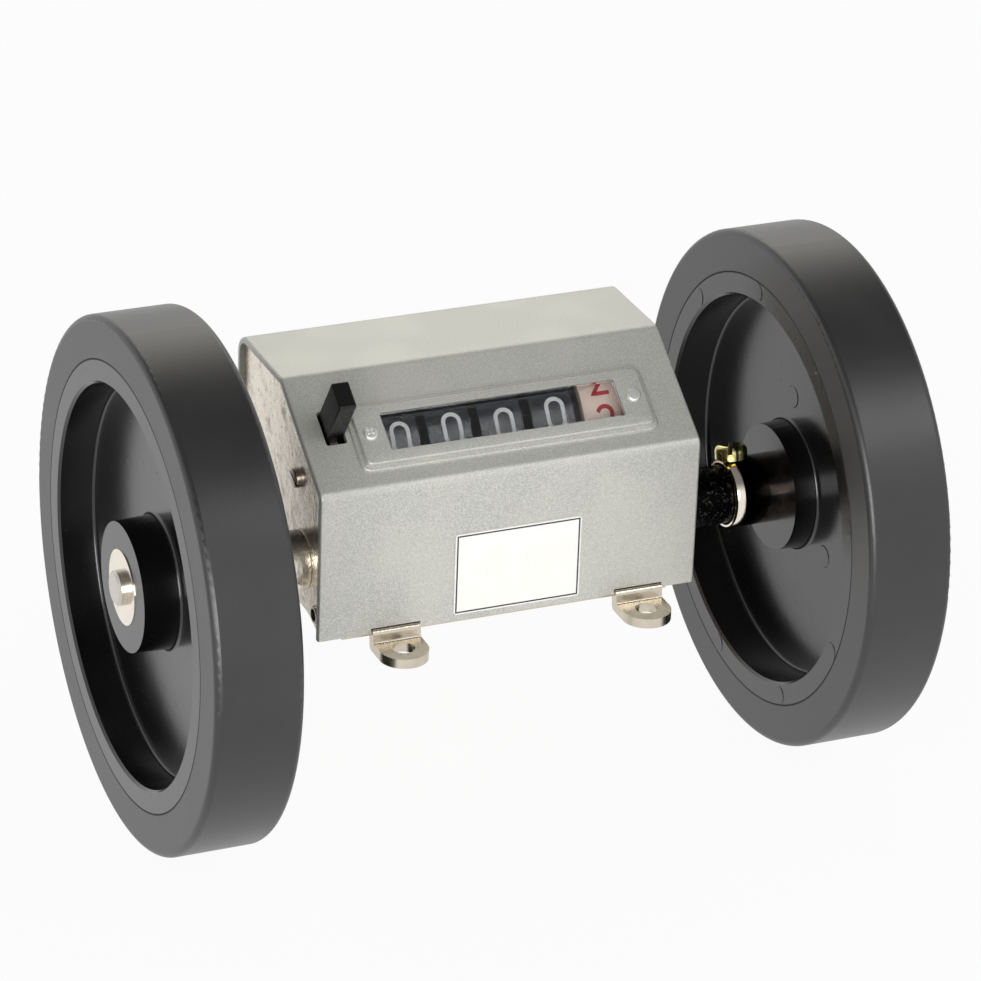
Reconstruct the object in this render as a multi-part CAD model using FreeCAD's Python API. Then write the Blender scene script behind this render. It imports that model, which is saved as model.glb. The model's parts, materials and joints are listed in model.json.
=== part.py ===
import FreeCAD, Part
import math
import os

from FreeCAD import Vector

os.makedirs("parts", exist_ok=True)

# Cable length counter: two rubber-tyred wheels on one axle drive a five-figure counter.
# Millimetres. X runs along the axle, the front with the figures faces -Y, Z is up.
# The origin is the centre of the base plate's hole pattern, on the underside of its feet.

# Measuring wheels: a 333 mm rim, so that three turns are one metre
wheel_diameter = 106.0
wheel_width = 17.7
wheel_gap = 117.0
tyre_seat_radius = 44.4
tyre_edge_radius = 1.3
tyre_key_height = 1.6
tyre_key_width = 5.0
tyre_fit = 0.05
rim_opening_radius = 39.7
rim_lip_chamfer = 0.5
outer_recess_depth = 7.6
web_thickness = 1.8
hub_boss_radius = 12.9
hub_boss_draft = 0.3
inner_boss_height = 5.0
inner_boss_to_bearing = 10.4

# Axle and the steel sleeves that carry the wheels
axle_radius = 3.5
axle_height = 16.0
axle_from_front = 12.1
axle_end_proud = 1.6
axle_chamfer = 0.5
train_offset = -2.0
sleeve_radius = 7.1
sleeve_collar_radius = 6.8
sleeve_collar_length = 2.1
sleeve_flange_radius = 7.5
sleeve_flange_length = 1.5
sleeve_proud = 0.2
sleeve_bore_clearance = 0.02
set_screw_from_collar_end = 2.8
set_screw_tilt = 12.0
set_screw_radius = 1.5
set_screw_head_radius = 3.3
set_screw_head_height = 2.9
set_screw_seat = 0.1
slot_width = 0.9
slot_depth = 1.1

# Folded sheet cover
case_length = 80.5
case_depth = 47.0
case_bottom = 3.8
case_top = 50.4
front_face_top = 35.0
slope_run = 22.65
sheet = 1.2
front_bend_radius = 2.2
top_bend_radius = 2.5
back_bend_radius = 4.5
cover_edge_round = 0.5

# Cast end plates with the axle bosses
plate_thickness = 2.2
plate_inset = 1.0
plate_clearance = 0.1
plate_bottom_gap = 2.35
plate_corner_run = 8.5
boss_radius = 6.0
thrust_gap = 0.1
bush_radius = 4.8
bush_clearance = 0.03
bush_flange_radius = 6.2
bush_flange_thickness = 1.0
cover_lug_length = 6.5
cover_lug_height = 6.0
lug_depth = 6.5
base_lug_length = 9.5
base_lug_height = 5.0
lug_root = 0.5
base_lug_places = (-6.5, 9.0)
base_screw_from_lug_end = 3.2
seat_depth = 1.5
seat_wall = 1.6
seat_in_plate = 1.2

# Base plate with four feet
base_thickness = 2.0
base_drop = 2.7
base_clearance = 0.15
base_end_gap = 5.5
foot_width = 10.0
foot_end_radius = 5.0
foot_hole_radius = 2.25
foot_spacing_x = 52.0
foot_hole_out = 4.4
foot_step_out = 0.7
notch_side_clearance = 0.2
notch_height = 1.1
base_screw_radius = 1.5
base_screw_head_radius = 2.8
base_screw_head_height = 1.4
base_screw_grip = 3.5

# Window, bezel and front plate
window_offset = 1.15
window_width = 49.7
window_height = 8.45
window_along_slope = 11.6
window_corner = 0.4
lens_margin = 1.0
lens_thickness = 1.0
lens_clearance = 0.1
bezel_width = 61.4
bezel_height = 14.2
bezel_thickness = 1.5
bezel_corner = 1.6
bezel_edge_round = 0.9
rivet_span = 55.9
rivet_shank_radius = 0.9
rivet_hole_clearance = 0.05
rivet_head_radius = 1.25
rivet_head_height = 0.7
data_plate_offset = 1.5
data_plate_width = 26.8
data_plate_height = 17.5
data_plate_bottom = 1.3
data_plate_thickness = 0.3
data_plate_corner = 0.6

# Number wheels, read through the window, units wheel at the right
figure_wheels = 5
figure_pitch = 10.9
figure_centre_x = 0.6
rim_width = 8.9
rim_left_of_figure = 5.4
drum_radius = 13.8
drum_wall = 1.3
drum_web = 1.4
drum_depth_below_slope = 15.6
number_shaft_radius = 2.0
drum_bore_clearance = 0.04
drum_hub_radius = 4.0

# Gear train: axle pinion to units wheel is 1 to 3
drive_module = 0.75
pinion_teeth = 12
units_gear_teeth = 36
drive_gear_width = 2.2
drive_gear_gap = 0.9
pinion_extra_width = 1.0
tooth_root_share = 0.33
tooth_pitch_share = 0.215
tooth_tip_share = 0.10
addendum_share = 0.85
dedendum_share = 1.15

# Transfer pinions between the number wheels
transfer_module = 1.2
transfer_gear_teeth = 20
transfer_pinion_teeth = 8
transfer_ring_width = 0.7
transfer_side_clearance = 0.1
transfer_shaft_radius = 1.5
transfer_shaft_angle = -35.0
carry_sector_radius = 10.2
carry_sector_angle = 34.0
carry_sector_start = 200.0

# Heart cams and the reset comb
cam_large_radius = 7.4
cam_small_radius = 4.4
cam_thickness = 0.8
comb_shaft_y = 18.2
comb_shaft_z = 37.6
comb_shaft_radius = 1.5
comb_hub_radius = 2.6
finger_thickness = 0.7
finger_root_width = 3.4
finger_tip_radius = 0.9
finger_tip_share = 0.9
finger_length = 12.0
finger_angle = 155.6
finger_side_gap = 0.05
crank_gap = 0.3
crank_thickness = 1.6

# Reset key, pushed square to the slope, on a forked steel slide
key_from_plate = 1.8
key_width = 3.55
key_from = 12.4
key_to = 18.3
key_height = 11.6
key_foot_depth = 3.0
key_travel = 4.8
key_corner = 0.45
key_edge_round = 0.35
key_fit = 0.02
key_slot_side_gap = 0.4
key_slot_front_gap = 1.3
key_slot_back_gap = 0.5
key_slot_corner = 0.5
slide_thickness = 1.6
slide_from = 8.2
slide_to = 20.8
slide_under_cover = 0.3
slide_leg_depth = 19.0
slide_corner = 0.6
slide_guide_clearance = 0.1
tongue_wall = 1.1
tongue_height = 8.4

# Stud that guides the slide, through the left end plate
stud_from_front = 15.1
stud_height = 28.6
stud_radius = 2.0
stud_proud = 1.5
stud_edge_round = 0.4
stud_slot_turn = 65.0
stud_pin_radius = 1.5
stud_clip_wall = 1.0
stud_clip_thickness = 0.7
stud_side_gap = 0.15

# Return spring round the comb's hub
spring_wire_radius = 0.35
spring_hub_gap = 0.35
spring_side_gap = 0.4
spring_turns = 3
spring_pitch = 0.95
spring_leg = 3.6

# Tubular tie rods through both end plates
tie_radius = 2.0
tie_bore_radius = 1.3
tie_from_front = 4.6
tie_above_bottom = 3.6
tie_proud = 0.35
tie_fit = 0.02

# Cover screws in the back wall
cover_screw_radius = 1.5
cover_screw_head_radius = 2.7
cover_screw_head_height = 1.7
cover_screw_height = 14.0
cover_screw_grip = 4.0
screw_hole_clearance = 0.1

# Places worked out from the sizes above
centre_x = train_offset
case_left = centre_x - case_length / 2
case_right = centre_x + case_length / 2
case_front = -case_depth / 2
case_back = case_depth / 2
slope_top_y = case_front + slope_run
slope_rise = case_top - front_face_top
slope_length = math.hypot(slope_run, slope_rise)
slope_angle = math.degrees(math.atan2(slope_rise, slope_run))
along_slope = Vector(0, slope_run / slope_length, slope_rise / slope_length)
out_of_slope = Vector(0, -along_slope.z, along_slope.y)
slope_start = Vector(0, case_front, front_face_top)
axle_y = case_front + axle_from_front
axle_z = axle_height
wheel_radius = wheel_diameter / 2
wheel_inner = wheel_gap / 2
wheel_outer = wheel_inner + wheel_width
web_inner = wheel_outer - outer_recess_depth - web_thickness
web_outer = web_inner + web_thickness
inner_boss_face = web_inner - inner_boss_height
plate_outer = case_length / 2 - plate_inset
plate_inner = plate_outer - plate_thickness
boss_end = inner_boss_face - inner_boss_to_bearing
sleeve_start = boss_end + thrust_gap
gear_distance = drive_module * (pinion_teeth + units_gear_teeth) / 2
axle_to_slope = (Vector(0, axle_y, axle_z) - slope_start).dot(out_of_slope)
axle_on_slope = (Vector(0, axle_y, axle_z) - slope_start).dot(along_slope)
drum_rise = -axle_to_slope - drum_depth_below_slope
drum_on_slope = axle_on_slope + math.sqrt(gear_distance ** 2 - drum_rise ** 2)
drum_centre = slope_start + along_slope * drum_on_slope - out_of_slope * drum_depth_below_slope
transfer_distance = transfer_module * (transfer_gear_teeth + transfer_pinion_teeth) / 2
transfer_y = drum_centre.y + transfer_distance * math.cos(math.radians(transfer_shaft_angle))
transfer_z = drum_centre.z + transfer_distance * math.sin(math.radians(transfer_shaft_angle))
stud_y = case_front + stud_from_front
stud_z = case_bottom + stud_height
key_left = centre_x - plate_inner + key_from_plate
slide_left = key_left + (key_width - slide_thickness) / 2
slide_right = slide_left + slide_thickness
fork_half = number_shaft_radius + slide_guide_clearance
base_top = base_thickness + base_drop
base_bottom = base_drop
foot_hole_y = case_depth / 2 + foot_hole_out
figure_gap = figure_pitch - rim_width
X_AXIS = Vector(1, 0, 0)


def export(name, shape):
    """Write one piece and say if it isn't a closed, valid set of solids."""
    if not shape.isValid() or not shape.Solids:
        print("not a valid solid:", name)
    shape.exportStep("parts/" + name + ".step")
    return shape


def rod(x_from, x_to, radius, y, z):
    """A round bar along X."""
    return Part.makeCylinder(radius, x_to - x_from, Vector(x_from, y, z), X_AXIS)


def ring(x_from, x_to, outer, inner, y, z):
    """A tube along X."""
    return rod(x_from, x_to, outer, y, z).cut(rod(x_from - 1, x_to + 1, inner, y, z))


def turned(profile, y, z):
    """Revolve (x, radius) points about the line through y, z along X."""
    points = [Vector(x, y, z + radius) for x, radius in profile]
    face = Part.Face(Part.makePolygon(points + points[:1]))
    return face.revolve(Vector(0, y, z), X_AXIS, 360)


def rounded_wire(corners):
    """A closed wire through (point, radius) corners, each rounded by a tangent arc."""
    starts = []
    ends = []
    edges = []
    count = len(corners)
    for i, (point, radius) in enumerate(corners):
        before = (corners[i - 1][0] - point).normalize()
        after = (corners[(i + 1) % count][0] - point).normalize()
        half = before.getAngle(after) / 2
        setback = radius / math.tan(half)
        start = point + before * setback
        end = point + after * setback
        starts.append(start)
        ends.append(end)
        if radius > 0:
            bisector = (before + after).normalize()
            middle = point + bisector * (radius / math.sin(half) - radius)
            edges.append(Part.Arc(start, middle, end).toShape())
    for i in range(count):
        following = starts[(i + 1) % count]
        if ends[i].distanceToPoint(following) > 1e-6:
            edges.append(Part.LineSegment(ends[i], following).toShape())
    return Part.Wire(Part.sortEdges(edges)[0])


def panel(corners, depth):
    """A flat piece: the rounded outline pushed along the depth vector."""
    return Part.Face(rounded_wire(corners)).extrude(depth)


def on_slope(x, along, out):
    """A point by its X, its distance up the slope and its distance out of it."""
    return slope_start + along_slope * along + out_of_slope * out + X_AXIS * x


def slope_panel(x_centre, along_centre, width, height, corner, out_from, thickness):
    """A rounded rectangle lying on the slope."""
    half_w = width / 2
    half_h = height / 2
    corners = []
    for dx, ds in ((-1, -1), (1, -1), (1, 1), (-1, 1)):
        point = on_slope(x_centre + dx * half_w, along_centre + ds * half_h, out_from)
        corners.append((point, corner))
    return panel(corners, out_of_slope * thickness)


def case_outline(inset, bottom):
    """The cover's section, drawn in by an inset, as a face at X = 0."""
    half_bend = math.radians((90 - slope_angle) / 2)
    low_turn = inset * math.tan(half_bend)
    high_turn = inset * math.tan(math.radians(slope_angle / 2))
    corners = [
        (Vector(0, case_front + inset, bottom), 0),
        (Vector(0, case_front + inset, front_face_top - low_turn), max(front_bend_radius - inset, 0.3)),
        (Vector(0, slope_top_y + high_turn, case_top - inset), max(top_bend_radius - inset, 0.3)),
        (Vector(0, case_back - inset, case_top - inset), max(back_bend_radius - inset, 0.3)),
        (Vector(0, case_back - inset, bottom), 0),
    ]
    return Part.Face(rounded_wire(corners))


def case_block(inset, bottom, x_from, x_to):
    """The cover's section as a solid between two X values."""
    block = case_outline(inset, bottom).extrude(Vector(x_to - x_from, 0, 0))
    block.translate(Vector(x_from, 0, 0))
    return block


def gear(teeth, module, x_from, width, y, z, first_tooth):
    """A spur gear with straight-sided trapezoid teeth; first_tooth is its angle from +Y in degrees."""
    pitch = module * teeth / 2
    tip = pitch + module * addendum_share
    root = pitch - module * dedendum_share
    flank = ((root, tooth_root_share), (pitch, tooth_pitch_share), (tip, tooth_tip_share))
    outline = [(radius, -share) for radius, share in flank] + [(radius, share) for radius, share in flank[::-1]]
    step = 360.0 / teeth
    points = []
    for tooth in range(teeth):
        for radius, share in outline:
            angle = math.radians(first_tooth + step * (tooth + share))
            points.append(Vector(x_from, y + radius * math.cos(angle), z + radius * math.sin(angle)))
    face = Part.Face(Part.makePolygon(points + points[:1]))
    return face.extrude(Vector(width, 0, 0))


def slotted_head(base, axis, radius, height, crown, slot_along):
    """A domed round screw head standing on base, with a straight slot across it."""
    head = Part.makeCylinder(radius, height, base, axis)
    rim = [e for e in head.Edges if e.Curve.TypeId == "Part::GeomCircle"
           and (e.Curve.Center - base).dot(axis) > height / 2]
    head = head.makeFillet(crown, rim)
    cutter = Part.makeBox(slot_width, 4 * radius, slot_depth * 2)
    cutter.translate(Vector(-slot_width / 2, -2 * radius, -slot_depth))
    turn = FreeCAD.Rotation(axis.cross(slot_along), slot_along, axis, "ZYX")
    cutter.Placement = FreeCAD.Placement(base + axis * height, turn).multiply(cutter.Placement)
    return head.cut(cutter)


def cover():
    """Front, slope, top and back of one folded sheet, open at the ends and below."""
    shell = case_block(0, case_bottom, case_left, case_right)
    ends = [e for e in shell.Edges if abs(e.CenterOfMass.x - case_left) < 1e-6
            or abs(e.CenterOfMass.x - case_right) < 1e-6]
    ends = [e for e in ends if e.CenterOfMass.z > case_bottom + 0.1]
    shell = shell.makeFillet(cover_edge_round, ends)
    shell = shell.cut(case_block(sheet, case_bottom - 10, case_left - 1, case_right + 1))
    shell = shell.cut(slope_panel(centre_x + window_offset, window_along_slope, window_width + 2 * lens_margin,
                                  window_height + 2 * lens_margin, window_corner, -sheet - 1, sheet + 2))
    for side in (-1, 1):
        at = on_slope(centre_x + window_offset + side * rivet_span / 2, window_along_slope, -sheet - 1)
        shell = shell.cut(Part.makeCylinder(rivet_shank_radius + rivet_hole_clearance, sheet + 2, at, out_of_slope))
    shell = shell.cut(key_slot())
    for x in (-foot_spacing_x / 2, foot_spacing_x / 2):
        width = foot_width + 2 * notch_side_clearance
        notch = Part.makeBox(width, case_depth + 10, notch_height + 5,
                             Vector(x - width / 2, case_front - 5, case_bottom - 5))
        shell = shell.cut(notch)
    for x in (cover_screw_x(-1), cover_screw_x(1)):
        shell = shell.cut(Part.makeCylinder(cover_screw_radius + screw_hole_clearance, 2 * sheet + 2,
                                            Vector(x, case_back - sheet - 1, case_bottom + cover_screw_height),
                                            Vector(0, 1, 0)))
    return shell


def key_slot():
    """The opening in the slope that the reset key runs through."""
    along_from = key_from - key_slot_front_gap
    along_to = key_to + key_slot_back_gap
    return slope_panel(key_left + key_width / 2, (along_from + along_to) / 2, key_width + 2 * key_slot_side_gap,
                       along_to - along_from, key_slot_corner, -sheet - 1, sheet + 2)


def bezel():
    """The raised frame round the window."""
    x = centre_x + window_offset
    frame = slope_panel(x, window_along_slope, bezel_width, bezel_height, bezel_corner, 0, bezel_thickness)
    top_edges = [e for e in frame.Edges
                 if all(abs((v.Point - slope_start).dot(out_of_slope) - bezel_thickness) < 1e-6 for v in e.Vertexes)]
    frame = frame.makeFillet(bezel_edge_round, top_edges)
    frame = frame.cut(slope_panel(x, window_along_slope, window_width, window_height, window_corner,
                                  -1, bezel_thickness + 2))
    for side in (-1, 1):
        at = on_slope(x + side * rivet_span / 2, window_along_slope, -1)
        frame = frame.cut(Part.makeCylinder(rivet_shank_radius + rivet_hole_clearance, bezel_thickness + 2,
                                            at, out_of_slope))
    return frame


def window_lens():
    """A clear pane seated in the cover's opening, under the bezel."""
    grow = 2 * (lens_margin - lens_clearance)
    return slope_panel(centre_x + window_offset, window_along_slope, window_width + grow, window_height + grow,
                       window_corner, -lens_thickness, lens_thickness)


def bezel_rivets():
    """Two domed rivets that hold the bezel and are spread inside the cover."""
    rivets = []
    for side in (-1, 1):
        x = centre_x + window_offset + side * rivet_span / 2
        shank = Part.makeCylinder(rivet_shank_radius, bezel_thickness + sheet + 0.4,
                                  on_slope(x, window_along_slope, -sheet - 0.4), out_of_slope)
        head = Part.makeCylinder(rivet_head_radius, rivet_head_height,
                                 on_slope(x, window_along_slope, bezel_thickness), out_of_slope)
        rim = [e for e in head.Edges if e.Curve.TypeId == "Part::GeomCircle"
               and (e.Curve.Center - slope_start).dot(out_of_slope) > bezel_thickness + rivet_head_height / 2]
        head = head.makeFillet(rivet_head_height * 0.8, rim)
        tail = Part.makeCylinder(rivet_head_radius, 0.4, on_slope(x, window_along_slope, -sheet - 0.4), out_of_slope)
        rivets.append(shank.fuse([head, tail]))
    return Part.makeCompound(rivets)


def data_plate():
    """A bare plate on the lower front."""
    x = centre_x + data_plate_offset
    z = case_bottom + data_plate_bottom
    half = data_plate_width / 2
    corners = [(Vector(x - half, case_front, z), data_plate_corner),
               (Vector(x + half, case_front, z), data_plate_corner),
               (Vector(x + half, case_front, z + data_plate_height), data_plate_corner),
               (Vector(x - half, case_front, z + data_plate_height), data_plate_corner)]
    return panel(corners, Vector(0, -data_plate_thickness, 0))


def at_side(side, distance):
    """X at a distance from the casing's middle, to the left (-1) or right (1)."""
    return centre_x + side * distance


def span(side, near, far):
    """The lower and higher X of a stretch given by two distances from the middle."""
    ends = (at_side(side, near), at_side(side, far))
    return min(ends), max(ends)


def blind_seats():
    """Centre and radius of each shaft that ends inside the end plates."""
    return ((drum_centre.y, drum_centre.z, number_shaft_radius),
            (transfer_y, transfer_z, transfer_shaft_radius),
            (comb_shaft_y, comb_shaft_z, comb_shaft_radius))


def tie_places():
    """Y of the two tubular tie rods."""
    return (case_front + tie_from_front, case_back - tie_from_front)


def end_plate(side):
    """A cast plate with its axle boss, shaft seats and screw lugs."""
    low, high = span(side, plate_inner, plate_outer)
    inset = sheet + plate_clearance
    plate = case_block(inset, case_bottom, low, high)
    gap_y = case_depth / 2 - plate_corner_run
    corner_y = case_depth / 2 - inset
    gap_top = case_bottom + plate_bottom_gap
    below = [Vector(low - 1, -corner_y - 1, case_bottom - 1), Vector(low - 1, -corner_y, case_bottom),
             Vector(low - 1, -gap_y, gap_top), Vector(low - 1, gap_y, gap_top),
             Vector(low - 1, corner_y, case_bottom), Vector(low - 1, corner_y + 1, case_bottom - 1)]
    gap = Part.Face(Part.makePolygon(below + below[:1])).extrude(Vector(plate_thickness + 2, 0, 0))
    plate = plate.cut(gap)
    boss_low, boss_high = span(side, plate_inner - seat_depth, boss_end)
    adds = [rod(boss_low, boss_high, boss_radius, axle_y, axle_z)]
    for y, z, radius in blind_seats():
        seat_low, seat_high = span(side, plate_inner - seat_depth, plate_inner + lug_root)
        adds.append(rod(seat_low, seat_high, radius + seat_wall, y, z))
    lug_low, lug_high = span(side, plate_inner - base_lug_length, plate_inner + lug_root)
    for y in base_lug_places:
        adds.append(Part.makeBox(lug_high - lug_low, lug_depth, base_lug_height,
                                 Vector(lug_low, y - lug_depth / 2, base_top)))
    lug_low, lug_high = span(side, plate_inner - cover_lug_length, plate_inner + lug_root)
    cover_lug_z = case_bottom + cover_screw_height - cover_lug_height / 2
    adds.append(Part.makeBox(lug_high - lug_low, lug_depth, cover_lug_height,
                             Vector(lug_low, case_back - inset - lug_depth, cover_lug_z)))
    plate = plate.fuse(adds).removeSplitter()
    bush_low, bush_high = span(side, plate_inner - seat_depth, boss_end)
    cuts = [rod(bush_low - 1, bush_high + 1, bush_radius, axle_y, axle_z)]
    for y, z, radius in blind_seats():
        seat_low, seat_high = span(side, plate_inner - seat_depth - 1, plate_inner + seat_in_plate)
        cuts.append(rod(seat_low, seat_high, radius, y, z))
    for y in tie_places():
        cuts.append(rod(low - 1, high + 1, tie_radius, y, case_bottom + tie_above_bottom))
    for y in base_lug_places:
        cuts.append(Part.makeCylinder(base_screw_radius, base_screw_grip + 1,
                                      Vector(base_screw_x(side), y, base_top - 1)))
    cuts.append(Part.makeCylinder(cover_screw_radius, cover_screw_grip + 1,
                                  Vector(cover_screw_x(side), case_back - inset + 1, case_bottom + cover_screw_height),
                                  Vector(0, -1, 0)))
    if side < 0:
        cuts.append(rod(low - 1, high + 1, stud_radius, stud_y, stud_z))
    return plate.cut(cuts)


def base_screw_x(side):
    """X of the base screws under an end plate's lugs."""
    return at_side(side, plate_inner - base_lug_length + base_screw_from_lug_end)


def cover_screw_x(side):
    """X of the cover screw in an end plate's back lug."""
    return at_side(side, plate_inner - cover_lug_length / 2)


def bearing_bush(side):
    """A sintered bush through the boss, with a flange inside the casing."""
    low, high = span(side, plate_inner - seat_depth, boss_end)
    bush = rod(low, high, bush_radius, axle_y, axle_z)
    flange_low, flange_high = span(side, plate_inner - seat_depth - bush_flange_thickness, plate_inner - seat_depth)
    bush = bush.fuse(rod(flange_low, flange_high, bush_flange_radius, axle_y, axle_z)).removeSplitter()
    return bush.cut(rod(low - 5, high + 5, axle_radius + bush_clearance, axle_y, axle_z))


def base_plate():
    """Flat plate inside the cover, with four feet that step down through its notches."""
    wall = case_depth / 2 - sheet - base_clearance
    left = case_left + base_end_gap
    plate = Part.makeBox(case_length - 2 * base_end_gap, 2 * wall, base_thickness, Vector(left, -wall, base_bottom))
    for side_x in (-1, 1):
        for side_y in (-1, 1):
            plate = plate.fuse(foot(side_x * foot_spacing_x / 2, side_y))
    plate = plate.removeSplitter()
    for side_x in (-1, 1):
        for side_y in (-1, 1):
            hole = Part.makeCylinder(foot_hole_radius, base_top + 2,
                                     Vector(side_x * foot_spacing_x / 2, side_y * foot_hole_y, -1))
            plate = plate.cut(hole)
        for y in base_lug_places:
            plate = plate.cut(Part.makeCylinder(base_screw_radius + screw_hole_clearance, base_top + 2,
                                                Vector(base_screw_x(side_x), y, -1)))
    return plate


def foot(x, side):
    """One stepped foot with a round end, towards -Y or +Y."""
    face_y = case_depth / 2
    inner = face_y - sheet - base_clearance - 1.0
    step = face_y + foot_step_out
    bend = base_thickness * 0.55
    inner_bend = 0.35
    corners = [(inner, base_bottom, 0), (step - base_thickness, base_bottom, inner_bend),
               (step - base_thickness + 0.3, 0, bend), (foot_hole_y, 0, 0),
               (foot_hole_y, base_thickness, 0), (step + 0.3, base_thickness, inner_bend),
               (step, base_top, bend), (inner, base_top, 0)]
    points = [(Vector(x - foot_width / 2, side * y, z), radius) for y, z, radius in corners]
    strip = panel(points, Vector(foot_width, 0, 0))
    end = Part.makeCylinder(foot_end_radius, base_thickness, Vector(x, side * foot_hole_y, 0))
    return strip.fuse(end)


def pan_head_screw(at, axis, slot_along, radius, head_radius, head_height, shank):
    """A slotted pan-head screw: at is under the head, axis points out of the head."""
    head = slotted_head(at, axis, head_radius, head_height, head_height * 0.4, slot_along)
    return head.fuse(Part.makeCylinder(radius, shank, at - axis * shank, axis))


def base_screws():
    """Four screws up through the base plate into the end plates."""
    screws = []
    for side in (-1, 1):
        for y in base_lug_places:
            screws.append(pan_head_screw(Vector(base_screw_x(side), y, base_bottom), Vector(0, 0, -1),
                                                 X_AXIS, base_screw_radius, base_screw_head_radius,
                                                 base_screw_head_height, base_thickness + base_screw_grip))
    return Part.makeCompound(screws)


def cover_screws():
    """Two screws through the back wall into the end plates."""
    inset_wall = sheet + plate_clearance
    screws = []
    for side in (-1, 1):
        at = Vector(cover_screw_x(side), case_back, case_bottom + cover_screw_height)
        screws.append(pan_head_screw(at, Vector(0, 1, 0), X_AXIS, cover_screw_radius,
                                             cover_screw_head_radius, cover_screw_head_height,
                                             inset_wall + cover_screw_grip))
    return Part.makeCompound(screws)


def tie_rod(y):
    """A tube through both end plates, its ends rolled over."""
    low = centre_x - plate_outer - tie_proud
    high = centre_x + plate_outer + tie_proud
    z = case_bottom + tie_above_bottom
    tube = ring(low, high, tie_radius - tie_fit, tie_bore_radius, y, z)
    ends = [e for e in tube.Edges if e.Curve.TypeId == "Part::GeomCircle"
            and abs(e.Curve.Radius - tie_radius + tie_fit) < 1e-6]
    return tube.makeFillet(0.3, ends)


def inner_shaft(y, z, radius):
    """A shaft seated in both end plates."""
    end = plate_inner + seat_in_plate
    return rod(centre_x - end, centre_x + end, radius, y, z)


def figure_x(number):
    """X of a number wheel's figures; wheel 1 shows the units, at the right."""
    middle = (figure_wheels + 1) / 2
    return figure_centre_x + (middle - number) * figure_pitch


def heart_cam(x, large, small, start_angle):
    """A heart-shaped plate: two mirrored spirals from the notch to the lobe."""
    steps = 10
    points = []
    for i in range(-steps, steps):
        share = abs(i) / steps
        radius = small + (large - small) * share
        angle = math.radians(start_angle + 180.0 * i / steps)
        points.append(Vector(x, drum_centre.y + radius * math.cos(angle), drum_centre.z + radius * math.sin(angle)))
    return Part.Face(Part.makePolygon(points + points[:1])).extrude(Vector(cam_thickness, 0, 0))


def number_wheel(number):
    """Figure rim, web and hub, with heart cam and carry teeth at the left and a gear at the right."""
    x = figure_x(number)
    left = x - rim_left_of_figure
    right = left + rim_width
    y = drum_centre.y
    z = drum_centre.z
    cam_left = left - cam_thickness
    bore = number_shaft_radius + drum_bore_clearance
    profile = [(cam_left, bore), (cam_left, drum_hub_radius), (right - drum_web, drum_hub_radius),
               (right - drum_web, drum_radius - drum_wall), (left, drum_radius - drum_wall), (left, drum_radius),
               (right, drum_radius), (right, bore)]
    wheel = turned(profile, y, z)
    adds = [heart_cam(cam_left, cam_large_radius, cam_small_radius, 0)]
    if number < figure_wheels:
        adds.append(carry_teeth(cam_left))
    if number > 1:
        mesh = transfer_shaft_angle
        adds.append(gear(transfer_gear_teeth, transfer_module, right, transfer_ring_width, y, z,
                         mesh + 180.0 / transfer_gear_teeth))
    else:
        neck = drive_gear_gap
        adds.append(rod(right - 0.2, right + neck + 0.2, drum_hub_radius + 3, y, z))
        adds.append(gear(units_gear_teeth, drive_module, right + neck, drive_gear_width, y, z,
                         drive_mesh_angle() + 180.0 / units_gear_teeth))
    wheel = wheel.fuse(adds)
    far = right + drive_gear_gap + drive_gear_width + 1
    return wheel.cut(rod(cam_left - 1, far, bore, y, z)).removeSplitter()


def carry_teeth(x):
    """The sector that lets the transfer pinion step once a turn."""
    sector = Part.makeCylinder(carry_sector_radius, cam_thickness, Vector(x, drum_centre.y, drum_centre.z), X_AXIS,
                               carry_sector_angle)
    sector.rotate(drum_centre, X_AXIS, carry_sector_start)
    return sector.cut(rod(x - 1, x + cam_thickness + 1, cam_small_radius, drum_centre.y, drum_centre.z))


def drive_mesh_angle():
    """Angle from the number shaft to the axle, from +Y."""
    return math.degrees(math.atan2(axle_z - drum_centre.z, axle_y - drum_centre.y))


def main_shaft():
    """The axle with the drive pinion cut on it."""
    end = wheel_outer + sleeve_proud + axle_end_proud
    shaft = rod(centre_x - end, centre_x + end, axle_radius, axle_y, axle_z)
    rims = [e for e in shaft.Edges if e.Curve.TypeId == "Part::GeomCircle"]
    shaft = shaft.makeChamfer(axle_chamfer, rims)
    units_right = figure_x(1) - rim_left_of_figure + rim_width
    x = units_right + drive_gear_gap - pinion_extra_width / 2
    pinion = gear(pinion_teeth, drive_module, x, drive_gear_width + pinion_extra_width, axle_y, axle_z,
                  drive_mesh_angle() + 180)
    return shaft.fuse(pinion)


def transfer_pinion(number):
    """The pinion in the gap at the left of a number wheel, turning its left neighbour."""
    rim_left = figure_x(number) - rim_left_of_figure
    x = rim_left - figure_gap + transfer_side_clearance
    width = figure_gap - 2 * transfer_side_clearance
    body = gear(transfer_pinion_teeth, transfer_module, x, width, transfer_y, transfer_z,
                transfer_shaft_angle + 180)
    return body.cut(rod(x - 1, x + width + 1, transfer_shaft_radius + drum_bore_clearance, transfer_y, transfer_z))


def side_profile(side, profile):
    """Turn distances from the middle into X, for a profile at one side."""
    return turned([(at_side(side, x), radius) for x, radius in profile], axle_y, axle_z)


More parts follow.
